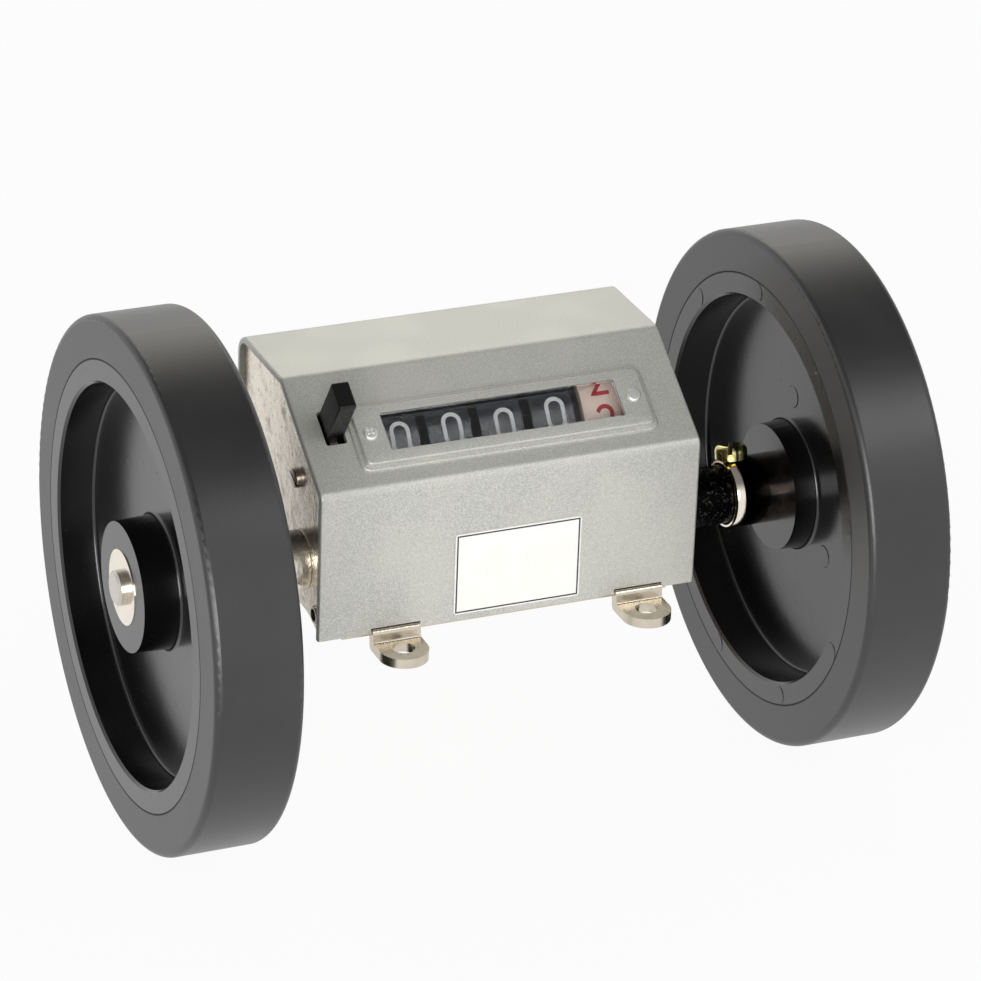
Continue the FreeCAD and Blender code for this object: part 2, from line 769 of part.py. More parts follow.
def wheel_hub(side):
    """The moulded wheel: rim, web and boss, with a keyed seat for the tyre."""
    seat = tyre_seat_radius
    middle = (wheel_inner + wheel_outer) / 2
    key = tyre_key_width / 2
    sleeve = sleeve_radius
    lip = rim_lip_chamfer
    boss = hub_boss_radius
    draft = hub_boss_draft
    profile = [
        (inner_boss_face, sleeve), (inner_boss_face, boss), (web_inner, boss + draft),
        (web_inner, rim_opening_radius - draft), (wheel_inner + lip, rim_opening_radius),
        (wheel_inner, rim_opening_radius + lip), (wheel_inner, seat),
        (middle - key, seat), (middle - key, seat + tyre_key_height),
        (middle + key, seat + tyre_key_height), (middle + key, seat),
        (wheel_outer, seat), (wheel_outer, rim_opening_radius + lip),
        (wheel_outer - lip, rim_opening_radius), (web_outer, rim_opening_radius - draft),
        (web_outer, boss + draft), (wheel_outer, boss),
        (wheel_outer, sleeve_flange_radius), (wheel_outer - sleeve_flange_length, sleeve_flange_radius),
        (wheel_outer - sleeve_flange_length, sleeve),
    ]
    return side_profile(side, profile)


def tyre(side):
    """The rubber tyre with rounded shoulders, its groove over the wheel's key."""
    seat = tyre_seat_radius + tyre_fit
    middle = (wheel_inner + wheel_outer) / 2
    key = tyre_key_width / 2 + tyre_fit
    groove = seat + tyre_key_height
    profile = [(wheel_inner, seat), (wheel_inner, wheel_radius), (wheel_outer, wheel_radius), (wheel_outer, seat),
               (middle + key, seat), (middle + key, groove), (middle - key, groove), (middle - key, seat)]
    band = side_profile(side, profile)
    shoulders = [e for e in band.Edges if e.Curve.TypeId == "Part::GeomCircle"
                 and abs(e.Curve.Radius - wheel_radius) < 1e-6]
    return band.makeFillet(tyre_edge_radius, shoulders)


def hub_sleeve(side):
    """The steel sleeve moulded into the wheel; its bare end takes the set screw."""
    collar_end = sleeve_start + sleeve_collar_length
    bore = axle_radius + sleeve_bore_clearance
    outer = wheel_outer + sleeve_proud
    profile = [
        (sleeve_start, bore), (sleeve_start, sleeve_collar_radius), (collar_end, sleeve_collar_radius),
        (collar_end, sleeve_radius), (wheel_outer - sleeve_flange_length, sleeve_radius),
        (wheel_outer - sleeve_flange_length, sleeve_flange_radius), (outer, sleeve_flange_radius), (outer, bore),
    ]
    sleeve = side_profile(side, profile)
    at, axis = set_screw_line(side)
    return sleeve.cut(Part.makeCylinder(set_screw_radius, 2 * sleeve_radius, at, axis))


def set_screw_line(side):
    """A point on the axle and the direction of a wheel's set screw."""
    tilt = math.radians(set_screw_tilt)
    at = Vector(at_side(side, sleeve_start + set_screw_from_collar_end), axle_y, axle_z)
    return at, Vector(0, math.sin(tilt), math.cos(tilt))


def set_screws():
    """The slotted screws that hold both wheels on the axle."""
    screws = []
    for side in (-1, 1):
        at, axis = set_screw_line(side)
        under_head = at + axis * (sleeve_radius + set_screw_seat)
        shank = sleeve_radius + set_screw_seat - axle_radius - set_screw_seat
        screws.append(pan_head_screw(under_head, axis, X_AXIS, set_screw_radius, set_screw_head_radius,
                                             set_screw_head_height, shank))
    return Part.makeCompound(screws)


def guide_stud():
    """A slotted stud through the left end plate; its pin and clip guide the slide."""
    outer = centre_x - plate_outer - stud_proud
    shoulder = slide_left - stud_side_gap
    clip_from = slide_right + stud_side_gap
    clip_to = clip_from + stud_clip_thickness
    stud = rod(outer, shoulder, stud_radius, stud_y, stud_z)
    outer_rim = [e for e in stud.Edges if e.Curve.TypeId == "Part::GeomCircle"
                 and abs(e.Curve.Center.x - outer) < 1e-6]
    stud = stud.makeFillet(stud_edge_round, outer_rim)
    slot = Part.makeBox(slot_depth, 4 * stud_radius, slot_width,
                        Vector(outer, stud_y - 2 * stud_radius, stud_z - slot_width / 2))
    slot.rotate(Vector(outer, stud_y, stud_z), X_AXIS, stud_slot_turn)
    pin = rod(shoulder, clip_to, stud_pin_radius, stud_y, stud_z)
    clip = rod(clip_from, clip_to, stud_pin_radius + stud_clip_wall, stud_y, stud_z)
    return stud.cut(slot).fuse([pin, clip]).removeSplitter()


def slide_outline(grow):
    """The slide's outline as (place up the slope, height out of it) points, grown by a clearance."""
    top = -sheet - slide_under_cover + grow
    fork_top = -drum_depth_below_slope + number_shaft_radius + key_travel + slide_under_cover
    tongue_from = key_from + tongue_wall - grow
    tongue_to = key_to - tongue_wall + grow
    bottom = -slide_leg_depth
    return [(slide_from, top), (tongue_from, top), (tongue_from, tongue_height + grow),
            (tongue_to, tongue_height + grow), (tongue_to, top), (slide_to, top), (slide_to, bottom),
            (drum_on_slope + fork_half, bottom), (drum_on_slope + fork_half, fork_top),
            (drum_on_slope - fork_half, fork_top), (drum_on_slope - fork_half, bottom), (slide_from, bottom)]


def slide_plate(grow):
    """The slide as a plain forked plate, grown by a clearance."""
    sharp = (1, 4)
    corners = [(on_slope(slide_left - grow, along, out), 0 if i in sharp else slide_corner)
               for i, (along, out) in enumerate(slide_outline(grow))]
    return panel(corners, Vector(slide_thickness + 2 * grow, 0, 0))


def reset_slide():
    """The forked steel slide: it straddles the number shaft and runs on the stud's pin."""
    half = stud_pin_radius + slide_guide_clearance
    at_rest = Vector(0, stud_y, stud_z) - slope_start
    along = at_rest.dot(along_slope)
    out = at_rest.dot(out_of_slope)
    ends = [on_slope(slide_left - 1, along, out), on_slope(slide_left - 1, along, out + key_travel)]
    ends = [rod(slide_left - 1, slide_right + 1, half, end.y, end.z) for end in ends]
    between = panel([(on_slope(slide_left - 1, along + side * half, level), 0)
                     for side, level in ((-1, out), (1, out), (1, out + key_travel), (-1, out + key_travel))],
                    Vector(slide_thickness + 2, 0, 0))
    return slide_plate(0).cut([between] + ends).removeSplitter()


def reset_key():
    """The moulded push key on the slide's tongue."""
    corners = [(on_slope(key_left, key_from, -key_foot_depth), 0), (on_slope(key_left, key_to, -key_foot_depth), 0),
               (on_slope(key_left, key_to, key_height), key_corner),
               (on_slope(key_left, key_from, key_height), key_corner)]
    key = panel(corners, Vector(key_width, 0, 0))
    rims = [e for e in key.Edges if all(abs(v.X - key_left) < 1e-6 for v in e.Vertexes)
            or all(abs(v.X - key_left - key_width) < 1e-6 for v in e.Vertexes)]
    key = key.makeFillet(key_edge_round, rims)
    return key.cut(slide_plate(key_fit))


def return_spring():
    """A torsion spring round the comb's hub, each half turn one arc, with a straight leg at each end."""
    radius = comb_hub_radius + spring_hub_gap + spring_wire_radius
    first_x = slide_right + spring_side_gap + spring_wire_radius
    edges = []
    low = Vector(first_x, comb_shaft_y, comb_shaft_z - radius)
    start = low + Vector(0, spring_leg, 0)
    edges.append(Part.LineSegment(start, low).toShape())
    for turn in range(spring_turns):
        high = low + Vector(spring_pitch / 2, 0, 2 * radius)
        following = low + Vector(spring_pitch, 0, 0)
        half = (high - low).Length / 2
        front = (low + high) * 0.5 - Vector(0, half, 0)
        back = (high + following) * 0.5 + Vector(0, half, 0)
        edges.append(Part.Arc(low, front, high).toShape())
        edges.append(Part.Arc(high, back, following).toShape())
        low = following
    edges.append(Part.LineSegment(low, low - Vector(0, spring_leg, 0)).toShape())
    section = Part.Wire(Part.makeCircle(spring_wire_radius, start, Vector(0, 1, 0)))
    return Part.Wire(edges).makePipeShell([section], True, False)


def reset_comb():
    """Comb shaft sleeve with five fingers over the heart cams and a crank under the slide's back leg."""
    left = slide_left
    right = figure_x(1) - rim_left_of_figure
    y = comb_shaft_y
    z = comb_shaft_z
    tube = rod(left, right, comb_hub_radius, y, z)
    parts = []
    for number in range(1, figure_wheels + 1):
        finger_x = figure_x(number) - rim_left_of_figure - (cam_thickness + finger_thickness) / 2 - finger_side_gap
        parts.append(tapered_arm(finger_x, finger_thickness, finger_length, finger_angle))
    leg_middle = (drum_on_slope + fork_half + slide_to) / 2
    crank = on_slope(0, leg_middle, -slide_leg_depth - crank_gap - finger_tip_radius) - Vector(0, y, z)
    crank_angle = math.degrees(math.atan2(crank.z, crank.y))
    parts.append(tapered_arm(left, crank_thickness, crank.Length, crank_angle))
    comb = tube.fuse(parts).removeSplitter()
    return comb.cut(rod(left - 1, right + 1, comb_shaft_radius + drum_bore_clearance, y, z))


def tapered_arm(x, thickness, length, angle):
    """An arm from the comb shaft, narrowing to a round tip; angle is from +Y."""
    turn = math.radians(angle)
    ahead = Vector(0, math.cos(turn), math.sin(turn))
    across = Vector(0, -math.sin(turn), math.cos(turn))
    root = Vector(x, comb_shaft_y, comb_shaft_z)
    tip = root + ahead * (length + finger_tip_radius)
    tip_half = finger_tip_radius
    corner = finger_tip_radius * finger_tip_share
    corners = [(root - across * finger_root_width / 2, 0), (tip - across * tip_half, corner),
               (tip + across * tip_half, corner), (root + across * finger_root_width / 2, 0)]
    return panel(corners, Vector(thickness, 0, 0))


export("cover", cover())
export("bezel", bezel())
export("window_lens", window_lens())
export("bezel_rivets", bezel_rivets())
export("data_plate", data_plate())
export("left_end_plate", end_plate(-1))
export("right_end_plate", end_plate(1))
export("left_bearing_bush", bearing_bush(-1))
export("right_bearing_bush", bearing_bush(1))
export("base_plate", base_plate())
export("base_screws", base_screws())
export("cover_screws", cover_screws())
export("front_tie_rod", tie_rod(tie_places()[0]))
export("rear_tie_rod", tie_rod(tie_places()[1]))
export("number_shaft", inner_shaft(drum_centre.y, drum_centre.z, number_shaft_radius))
export("transfer_shaft", inner_shaft(transfer_y, transfer_z, transfer_shaft_radius))
export("comb_shaft", inner_shaft(comb_shaft_y, comb_shaft_z, comb_shaft_radius))
for wheel_number in range(1, figure_wheels + 1):
    export("number_wheel_%d" % wheel_number, number_wheel(wheel_number))
for wheel_number in range(1, figure_wheels):
    export("transfer_pinion_%d" % wheel_number, transfer_pinion(wheel_number))
export("main_shaft", main_shaft())
for side_name, side_sign in (("left", -1), ("right", 1)):
    export(side_name + "_wheel", wheel_hub(side_sign))
    export(side_name + "_tyre", tyre(side_sign))
    export(side_name + "_hub_sleeve", hub_sleeve(side_sign))
export("set_screws", set_screws())
export("guide_stud", guide_stud())
export("reset_slide", reset_slide())
export("reset_key", reset_key())
export("return_spring", return_spring())
export("reset_comb", reset_comb())

print("axle at", round(axle_y, 3), round(axle_z, 3), "number shaft at", round(drum_centre.y, 3),
      round(drum_centre.z, 3), "transfer shaft at", round(transfer_y, 3), round(transfer_z, 3))
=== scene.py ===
"""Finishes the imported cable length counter: paint, metal, rubber, figures, moulding marks and studio."""

import json
import math

import bmesh
import bpy
from mathutils import Matrix, Vector


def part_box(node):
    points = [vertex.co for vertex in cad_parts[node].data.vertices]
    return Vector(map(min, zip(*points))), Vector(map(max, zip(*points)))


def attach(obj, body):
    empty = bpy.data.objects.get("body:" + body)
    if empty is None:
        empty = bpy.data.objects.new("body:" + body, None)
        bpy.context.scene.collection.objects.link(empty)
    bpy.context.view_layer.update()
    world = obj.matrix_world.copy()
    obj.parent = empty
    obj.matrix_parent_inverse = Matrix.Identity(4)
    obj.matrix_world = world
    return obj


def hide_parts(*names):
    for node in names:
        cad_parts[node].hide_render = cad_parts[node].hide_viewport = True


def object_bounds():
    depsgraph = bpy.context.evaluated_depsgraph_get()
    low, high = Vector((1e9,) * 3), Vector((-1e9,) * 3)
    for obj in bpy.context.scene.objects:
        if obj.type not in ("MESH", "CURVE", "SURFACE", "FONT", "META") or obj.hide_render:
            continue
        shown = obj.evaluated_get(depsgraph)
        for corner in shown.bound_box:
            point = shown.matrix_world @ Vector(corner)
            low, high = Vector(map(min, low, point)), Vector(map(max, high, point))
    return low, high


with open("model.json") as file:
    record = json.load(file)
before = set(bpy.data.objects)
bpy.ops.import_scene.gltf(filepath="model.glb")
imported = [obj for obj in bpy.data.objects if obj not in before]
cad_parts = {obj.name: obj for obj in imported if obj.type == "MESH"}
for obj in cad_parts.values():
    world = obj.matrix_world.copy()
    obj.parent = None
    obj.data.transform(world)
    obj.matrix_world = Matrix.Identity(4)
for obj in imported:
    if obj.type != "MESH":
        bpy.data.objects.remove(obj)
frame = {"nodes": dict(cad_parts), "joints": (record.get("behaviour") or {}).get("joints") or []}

bl_info = {
    "name": "Length counter finish",
    "version": (1, 0, 0),
    "blender": (4, 5, 0),
    "location": "3D View > Sidebar > Counter",
    "description": "Finishes a cable length counter and sets up its studio",
    "category": "Object",
}

MM = 0.001
CAD_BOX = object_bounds()
JOINTS = {joint["name"]: joint for joint in frame["joints"]}

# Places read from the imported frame
AXLE = Vector(JOINTS["wheel_spin"]["pos_m"])
DRUM = Vector(JOINTS["drum_1_spin"]["pos_m"])
OUT_OF_SLOPE = -Vector(JOINTS["reset_press"]["axis"])
ALONG_SLOPE = Vector((0, OUT_OF_SLOPE.z, -OUT_OF_SLOPE.y))
X_AXIS = Vector((1, 0, 0))
Y_AXIS = Vector((0, 1, 0))
Z_AXIS = Vector((0, 0, 1))
SIDES = (("left", -1), ("right", 1))
NUMBER_WHEELS = 5

# Steps of a rounded corner, a stroke's arc, a small circle and a large ring; a length too small to see;
# and the angle from which an edge is shaded sharp
CORNER_STEPS = 5
ARC_STEPS = 12
CIRCLE_STEPS = 48
RING_STEPS = 128
HAIR = 0.001 * MM
SHARP_ANGLE = math.radians(35.0)

# Sizes of the solids that the new pieces seat on, in millimetres; along X from the middle of the case
WHEEL_INNER = 58.5
WEB_INNER = 66.8
WEB_OUTER = 68.6
BOSS_RADIUS = 12.9
BOSS_DRAFT = 0.3
RIM_OPENING = 39.7
TYRE_SEAT = 44.4
SLEEVE_START = 51.5
SLEEVE_COLLAR_END = 53.6
SLEEVE_FLANGE_START = 74.7
PLATE_OUTER = 39.25
LENS_THICKNESS = 1.0
DRUM_RADIUS = 13.8


def middle(node):
    """The centre of a node's box."""
    low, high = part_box(node)
    return (Vector(low) + Vector(high)) / 2


# The axle's point in the middle of the case, and the window's middle on the face of the slope
CASE_MIDDLE = Vector((middle("cover").x, AXLE.y, AXLE.z))
WINDOW = middle("window_lens") + OUT_OF_SLOPE * LENS_THICKNESS / 2 * MM


def paint(red, green, blue):
    """A linear colour from the 0 to 255 values that a screen shows."""
    shares = [value / 255 for value in (red, green, blue)]
    return tuple(s / 12.92 if s <= 0.04045 else ((s + 0.055) / 1.055) ** 2.4 for s in shares)


class Socket:
    """A shader value; a sum, product or difference of values adds its Math node."""

    def __init__(self, tree, link):
        self.tree = tree
        self.link = link

    def math(self, operation, *values):
        inputs = dict(enumerate((self,) + values))
        return self.tree.node("ShaderNodeMath", {"operation": operation}, inputs)

    def __add__(self, other):
        return self.math("ADD", other)

    def __sub__(self, other):
        return self.math("SUBTRACT", other)

    def __rsub__(self, other):
        return (self * -1) + other

    def __mul__(self, other):
        return self.math("MULTIPLY", other)

    __radd__ = __add__
    __rmul__ = __mul__

    def __abs__(self):
        return self.math("ABSOLUTE")

    def most(self, other):
        return self.math("MAXIMUM", other)

    def step(self, start, end):
        """0 at start, 1 at end, smooth between them."""
        inputs = {0: self, 1: start, 2: end, 3: 0.0, 4: 1.0}
        return self.tree.node("ShaderNodeMapRange", {"interpolation_type": "SMOOTHSTEP"}, inputs)

    def near(self, place, reach):
        """1 at a place, 0 beyond its reach on both sides."""
        return 1 - abs(self - place).step(reach * 0.5, reach)


class NodeTree:
    """A node tree, with one way to add a node and its links."""

    def __init__(self, tree):
        self.tree = tree

    def node(self, kind, settings=None, inputs=None, output=0):
        """Add a node: its settings are set first, then the values or links of its sockets."""
        node = self.tree.nodes.new(kind)
        for key, value in (settings or {}).items():
            if key == "stops":
                self.set_stops(node.color_ramp, value)
            else:
                setattr(node, key, value)
        for key, value in (inputs or {}).items():
            if isinstance(value, Socket):
                self.tree.links.new(value.link, node.inputs[key])
            elif isinstance(value, tuple) and len(node.inputs[key].default_value) == len(value) + 1:
                node.inputs[key].default_value = value + (1.0,)
            else:
                node.inputs[key].default_value = value
        return Socket(self, node.outputs[output])

    @staticmethod
    def set_stops(ramp, stops):
        """Give a colour ramp its (place, colour) stops."""
        while len(ramp.elements) < len(stops):
            ramp.elements.new(1.0)
        for element, (place, colour) in zip(ramp.elements, stops):
            element.position = place
            element.color = colour + (1.0,)

    def seen(self):
        """1 for the rays of the camera, of a gloss and of what is clear; 0 for those that light."""
        rays = [self.node("ShaderNodeLightPath", output=name)
                for name in ("Is Camera Ray", "Is Glossy Ray", "Is Transmission Ray")]
        return rays[0].most(rays[1]).most(rays[2])


class Finish(NodeTree):
    """One procedural material, with its Principled shader and the nodes that feed it."""

    def __init__(self, name, **uniform):
        self.material = bpy.data.materials.new(name)
        self.material.use_nodes = True
        super().__init__(self.material.node_tree)
        self.shader = self.tree.nodes["Principled BSDF"]
        for socket, value in uniform.items():
            socket = socket.replace("_", " ").title().replace("Ior", "IOR")
            value = value + (1.0,) if isinstance(value, tuple) else value
            self.shader.inputs[socket].default_value = value

    def place(self):
        """The surface point in the object's own metres."""
        return self.node("ShaderNodeTexCoord", output="Object")

    def axes(self):
        """The X, Y and Z of the surface point, in millimetres."""
        place = self.place()
        return [self.node("ShaderNodeSeparateXYZ", None, {0: place}, output=i) * 1000 for i in range(3)]

    def noise(self, size, detail=3.0, roughness=0.55, stretch=(1, 1, 1)):
        """Soft noise with features of about that size in millimetres."""
        scale = tuple(axis / (size * MM) for axis in stretch)
        place = self.node("ShaderNodeMapping", None, {"Vector": self.place(), "Scale": scale})
        inputs = {"Vector": place, "Scale": 1.0, "Detail": detail, "Roughness": roughness}
        return self.node("ShaderNodeTexNoise", None, inputs)

    def blend(self, share, first, second):
        """A colour between two, by a share from 0 to 1."""
        inputs = {"Factor": share, 6: first, 7: second}
        return self.node("ShaderNodeMix", {"data_type": "RGBA", "clamp_factor": True}, inputs, output=2)

    def ramp(self, share, *stops):
        """A colour that runs through (place, colour) stops."""
        return self.node("ShaderNodeValToRGB", {"stops": stops}, {0: share})

    def bump(self, height, depth):
        """Feed the normal from a height of 0 to 1 that stands for a depth in millimetres."""
        inputs = {"Height": height, "Distance": depth * MM, "Strength": 1.0}
        self.feed("Normal", self.node("ShaderNodeBump", None, inputs))

    def feed(self, name, value):
        """Link a value to one of the shader's sockets."""
        self.tree.links.new(value.link, self.shader.inputs[name])

    def coat(self, colour, roughness):
        """Feed the colour and the roughness."""
        self.feed("Base Color", colour)
        self.feed("Roughness", roughness)

    def from_middle(self):
        """Distance from the middle of the case along X, in millimetres."""
        return abs(self.axes()[0] - CASE_MIDDLE.x / MM)

    def tyre_seam(self):
        """1 on the circle where a tyre meets its wheel, 0 away from it."""
        _, y, z = self.axes()
        across = y - AXLE.y / MM
        up = z - AXLE.z / MM
        from_axle = (across * across + up * up).math("SQRT")
        seam_reach = 0.24
        return from_axle.near(TYRE_SEAT, seam_reach)


def dress(finish, *nodes):
    """Give CAD nodes their finish."""
    for node in nodes:
        materials = frame["nodes"][node].data.materials
        materials.clear()
        materials.append(finish.material)


def add_piece(name, mesh, finish, body, replaced=None):
    """Turn a bmesh into a piece that rides on a body, in place of a CAD node where one is named."""
    data = bpy.data.meshes.new(name)
    mesh.to_mesh(data)
    mesh.free()
    data.materials.append(finish.material)
    data.polygons.foreach_set("use_smooth", [True] * len(data.polygons))
    data.set_sharp_from_angle(angle=SHARP_ANGLE)
    piece = bpy.data.objects.new(name, data)
    bpy.context.scene.collection.objects.link(piece)
    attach(piece, body)
    if replaced:
        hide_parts(replaced)


def turn_outward(mesh):
    """Make the faces of closed shapes point outwards."""
    bmesh.ops.recalc_face_normals(mesh, faces=mesh.faces)


def rounded_loop(mesh, width, height, corner, level, shift=0.0):
    """The edges of a rectangle with rounded corners, at a level on Z and a shift on Y, in millimetres."""
    verts = bmesh.ops.create_grid(mesh, x_segments=1, y_segments=1, size=0.5)["verts"]
    bmesh.ops.scale(mesh, verts=verts, vec=(width * MM, height * MM, 1))
    bmesh.ops.translate(mesh, verts=verts, vec=(0, shift * MM, level * MM))
    before = set(mesh.faces) - set(verts[0].link_faces)
    bmesh.ops.bevel(mesh, geom=verts, offset=corner * MM, affect="VERTICES", segments=CORNER_STEPS,
                    profile=0.5, material=-1)
    face = [f for f in mesh.faces if f not in before][0]
    edges = list(face.edges)
    bmesh.ops.delete(mesh, geom=[face], context="FACES_ONLY")
    return edges


def circle_loop(mesh, radius, level):
    """The edges of a circle at a level; sizes are in millimetres."""
    verts = bmesh.ops.create_circle(mesh, radius=radius * MM, segments=CIRCLE_STEPS)["verts"]
    bmesh.ops.translate(mesh, verts=verts, vec=(0, 0, level * MM))
    return list(dict.fromkeys(edge for vert in verts for edge in vert.link_edges))


def loft(mesh, loops, ends="closed"):
    """Join loops in turn with faces; the last meets the first, or each end gets a cap."""
    pairs = list(zip(loops, loops[1:]))
    if ends == "closed":
        pairs.append((loops[-1], loops[0]))
    for first, second in pairs:
        if abs(first[0].verts[0].co.z - second[0].verts[0].co.z) < HAIR:
            bmesh.ops.triangle_fill(mesh, edges=first + second, use_beauty=True)
        else:
            bmesh.ops.bridge_loops(mesh, edges=first + second)
    if ends == "capped":
        for loop in (loops[0], loops[-1]):
            bmesh.ops.contextual_create(mesh, geom=loop)
    turn_outward(mesh)


def slotted_screw(outline, cut):
    """A turned screw about Z; its (radius, level) outline ends in the floor of the slot that cut describes."""
    mesh = bmesh.new()
    loft(mesh, [circle_loop(mesh, radius, level) for radius, level in outline], ends="capped")
    for hand in (-1, 1):
        slotted_land(mesh, *outline[-1], hand, cut)
    turn_outward(mesh)
    turn = Matrix.Rotation(cut.slot_turn, 3, "Z")
    bmesh.ops.rotate(mesh, verts=mesh.verts, cent=(0, 0, 0), matrix=turn)
    return mesh


def slotted_land(mesh, radius, floor, hand, cut):
    """The half of a screw's head on one side of its slot, with a rounded rim."""
    sink = 0.05
    others = set(mesh.verts)
    loops = [circle_loop(mesh, radius, floor - sink)]
    for i in range(CORNER_STEPS + 1):
        turn = math.pi / 2 * i / CORNER_STEPS
        loops.append(circle_loop(mesh, radius - cut.edge_round * (1 - math.cos(turn)),
                                 floor + cut.slot_depth - cut.edge_round * (1 - math.sin(turn))))
    loft(mesh, loops, ends="capped")
    verts = [vert for vert in mesh.verts if vert not in others]
    edges = dict.fromkeys(edge for vert in verts for edge in vert.link_edges)
    faces = dict.fromkeys(face for vert in verts for face in vert.link_faces)
    wall = (hand * cut.slot_width / 2 * MM, 0, 0)
    halved = bmesh.ops.bisect_plane(mesh, geom=verts + list(edges) + list(faces), clear_inner=True,
                                    plane_co=wall, plane_no=(hand, 0, 0))
    rim = [item for item in halved["geom_cut"] if isinstance(item, bmesh.types.BMEdge)]
    bmesh.ops.contextual_create(mesh, geom=rim)


def round_edges(mesh, edges, radius, segments=3):
    """Round edges by a radius in millimetres."""
    bmesh.ops.bevel(mesh, geom=edges, offset=radius * MM, affect="EDGES", segments=segments, profile=0.5,
                    material=-1)


def spun_ring(mesh, outline):
    """Turn a closed outline of (x, radius) points, in millimetres, about a line along X."""
    verts = [mesh.verts.new((x * MM, 0, radius * MM)) for x, radius in outline]
    edges = [mesh.edges.new((a, b)) for a, b in zip(verts, verts[1:] + verts[:1])]
    bmesh.ops.spin(mesh, geom=verts + edges, cent=(0, 0, 0), axis=(1, 0, 0), angle=2 * math.pi,
                   steps=RING_STEPS, use_merge=True)


def put_in_place(mesh, origin, x_axis, y_axis, z_axis, verts=None):
    """Move a mesh, or some of it, from its own axes to its place."""
    turn = Matrix((x_axis, y_axis, z_axis)).transposed().to_4x4()
    bmesh.ops.transform(mesh, matrix=Matrix.Translation(origin) @ turn, verts=verts or mesh.verts)


# Finishes

def enamel_finish(settings, name, lift=1.0):
    """Grey-green metallic enamel with fine sparkle and soft clouds."""
    finish = Finish(name, metallic=0.55)
    grain = finish.noise(0.2, detail=2.0, roughness=0.75)
    cloud = finish.noise(26.0, detail=2.0).step(0.4, 0.62)
    dark, light = [tuple(min(1.0, c * share * lift) for c in settings.enamel) for share in (0.76, 1.18)]
    warm = (light[0], light[1] * 0.985, light[2] * 0.95)
    tone = finish.blend(grain.step(0.36, 0.66), dark, light)
    finish.coat(finish.blend(cloud * 0.35, tone, warm), 0.34 + grain * 0.18)
    finish.bump(grain * 0.75 + finish.noise(1.6) * 0.25, 0.02)
    return finish


def nickel_finish(name, low, high, roughness):
    """Nickel plate, slightly wavy, with small dull spots."""
    finish = Finish(name, metallic=1.0)
    haze = finish.noise(3.0, detail=4.0)
    spots = finish.noise(0.9).step(0.64, 0.76)
    tone = finish.blend(spots * 0.4, finish.blend(haze, low, high), paint(112, 100, 84))
    finish.coat(tone, roughness + haze * 0.1 + spots * 0.2)
    finish.bump(finish.noise(2.4), 0.03)
    return finish


def casting_finish(name, boss_dark, boss_light, bare_and_lit_from, grain, painted_top_shade):
    """Zinc casting: pale and smudged on the plate, coarse on the boss, whose top may be painted dark as
    painted shade.
    """
    finish = Finish(name, metallic=0.9)
    smudge = finish.noise(5.0, detail=6.0, roughness=0.68).step(0.5, 0.74)
    nicks = finish.noise(0.7, detail=4.0, stretch=(1, 1, 0.4)).step(0.6, 0.68)
    pale = finish.blend(finish.noise(12.0), paint(230, 217, 198), paint(247, 240, 228))
    plate = finish.blend(smudge * 0.36 + nicks * 0.4, pale, paint(118, 104, 86))
    coarse = finish.noise(grain, detail=5.0, roughness=0.65)
    outside = finish.from_middle().step(PLATE_OUTER + 0.02, PLATE_OUTER + 0.3)
    # Painted shade: the top of the boss is darkened, a painted reflection of the dark room overhead
    top = (finish.axes()[2] - AXLE.z / MM).step(3.0, 6.0) * painted_top_shade
    # Pale specks on the boss: partly the casting's grain, partly painted light and painted glints, with a
    # share set per side
    bare = coarse.step(bare_and_lit_from, bare_and_lit_from + 0.14) * (1 - top)
    tone = finish.blend(outside, plate, finish.blend(bare, boss_dark, boss_light))
    finish.coat(tone, 0.26 + smudge * 0.16 + nicks * 0.1 - outside * 0.12)
    finish.bump(finish.noise(2.2, detail=4.0) * 0.3 + coarse * (0.1 + outside * (0.5 + top * 0.4)), 0.22)
    return finish


def sleeve_finish():
    """Polished steel: a bright collar and outer flange, darker along the sleeve."""
    finish = Finish("polished_sleeve", metallic=1.0)
    across = finish.from_middle()
    haze = finish.noise(4.0, detail=4.0)
    bright = finish.blend(haze, paint(226, 214, 198), paint(244, 236, 222))
    dark = finish.blend(haze.step(0.35, 0.7), paint(46, 42, 39), paint(104, 92, 84))
    past_collar = across.step(SLEEVE_COLLAR_END - 0.1, SLEEVE_COLLAR_END + 0.1)
    at_flange = across.step(SLEEVE_FLANGE_START - 0.1, SLEEVE_FLANGE_START + 0.1)
    finish.coat(finish.blend(past_collar * (1 - at_flange), bright, dark), 0.07 + haze * 0.08)
    finish.bump(finish.noise(3.0), 0.02)
    return finish


def steel_finish(name, tone, roughness):
    """Drawn steel with fine lines along X."""
    finish = Finish(name, metallic=1.0)
    lines = finish.noise(0.25, detail=2.0, stretch=(0.12, 1, 1))
    haze = finish.noise(4.0, detail=4.0)
    light = tuple(min(1.0, c * 1.25) for c in tone)
    finish.coat(finish.blend(haze, tone, light), roughness + lines * 0.1 + haze * 0.05)
    finish.bump(lines, 0.01)
    return finish


def bronze_finish():
    """Porous sintered bronze with an oily sheen."""
    finish = Finish("sintered_bronze", metallic=1.0)
    pores = finish.noise(0.35).step(0.55, 0.7)
    finish.coat(finish.blend(pores, paint(178, 132, 84), paint(92, 62, 40)), 0.32 + pores * 0.25)
    finish.bump(1 - pores, 0.03)
    return finish


def yellow_zinc_finish():
    """Yellow passivated screw, with green and pink hints."""
    finish = Finish("yellow_passivate", metallic=1.0)
    drift = finish.noise(2.0)
    tone = finish.ramp(drift, (0.32, paint(150, 150, 70)), (0.5, paint(232, 226, 164)),
                       (0.68, paint(178, 150, 92)))
    finish.coat(tone, 0.1 + drift * 0.12)
    finish.bump(finish.noise(0.6), 0.015)
    return finish


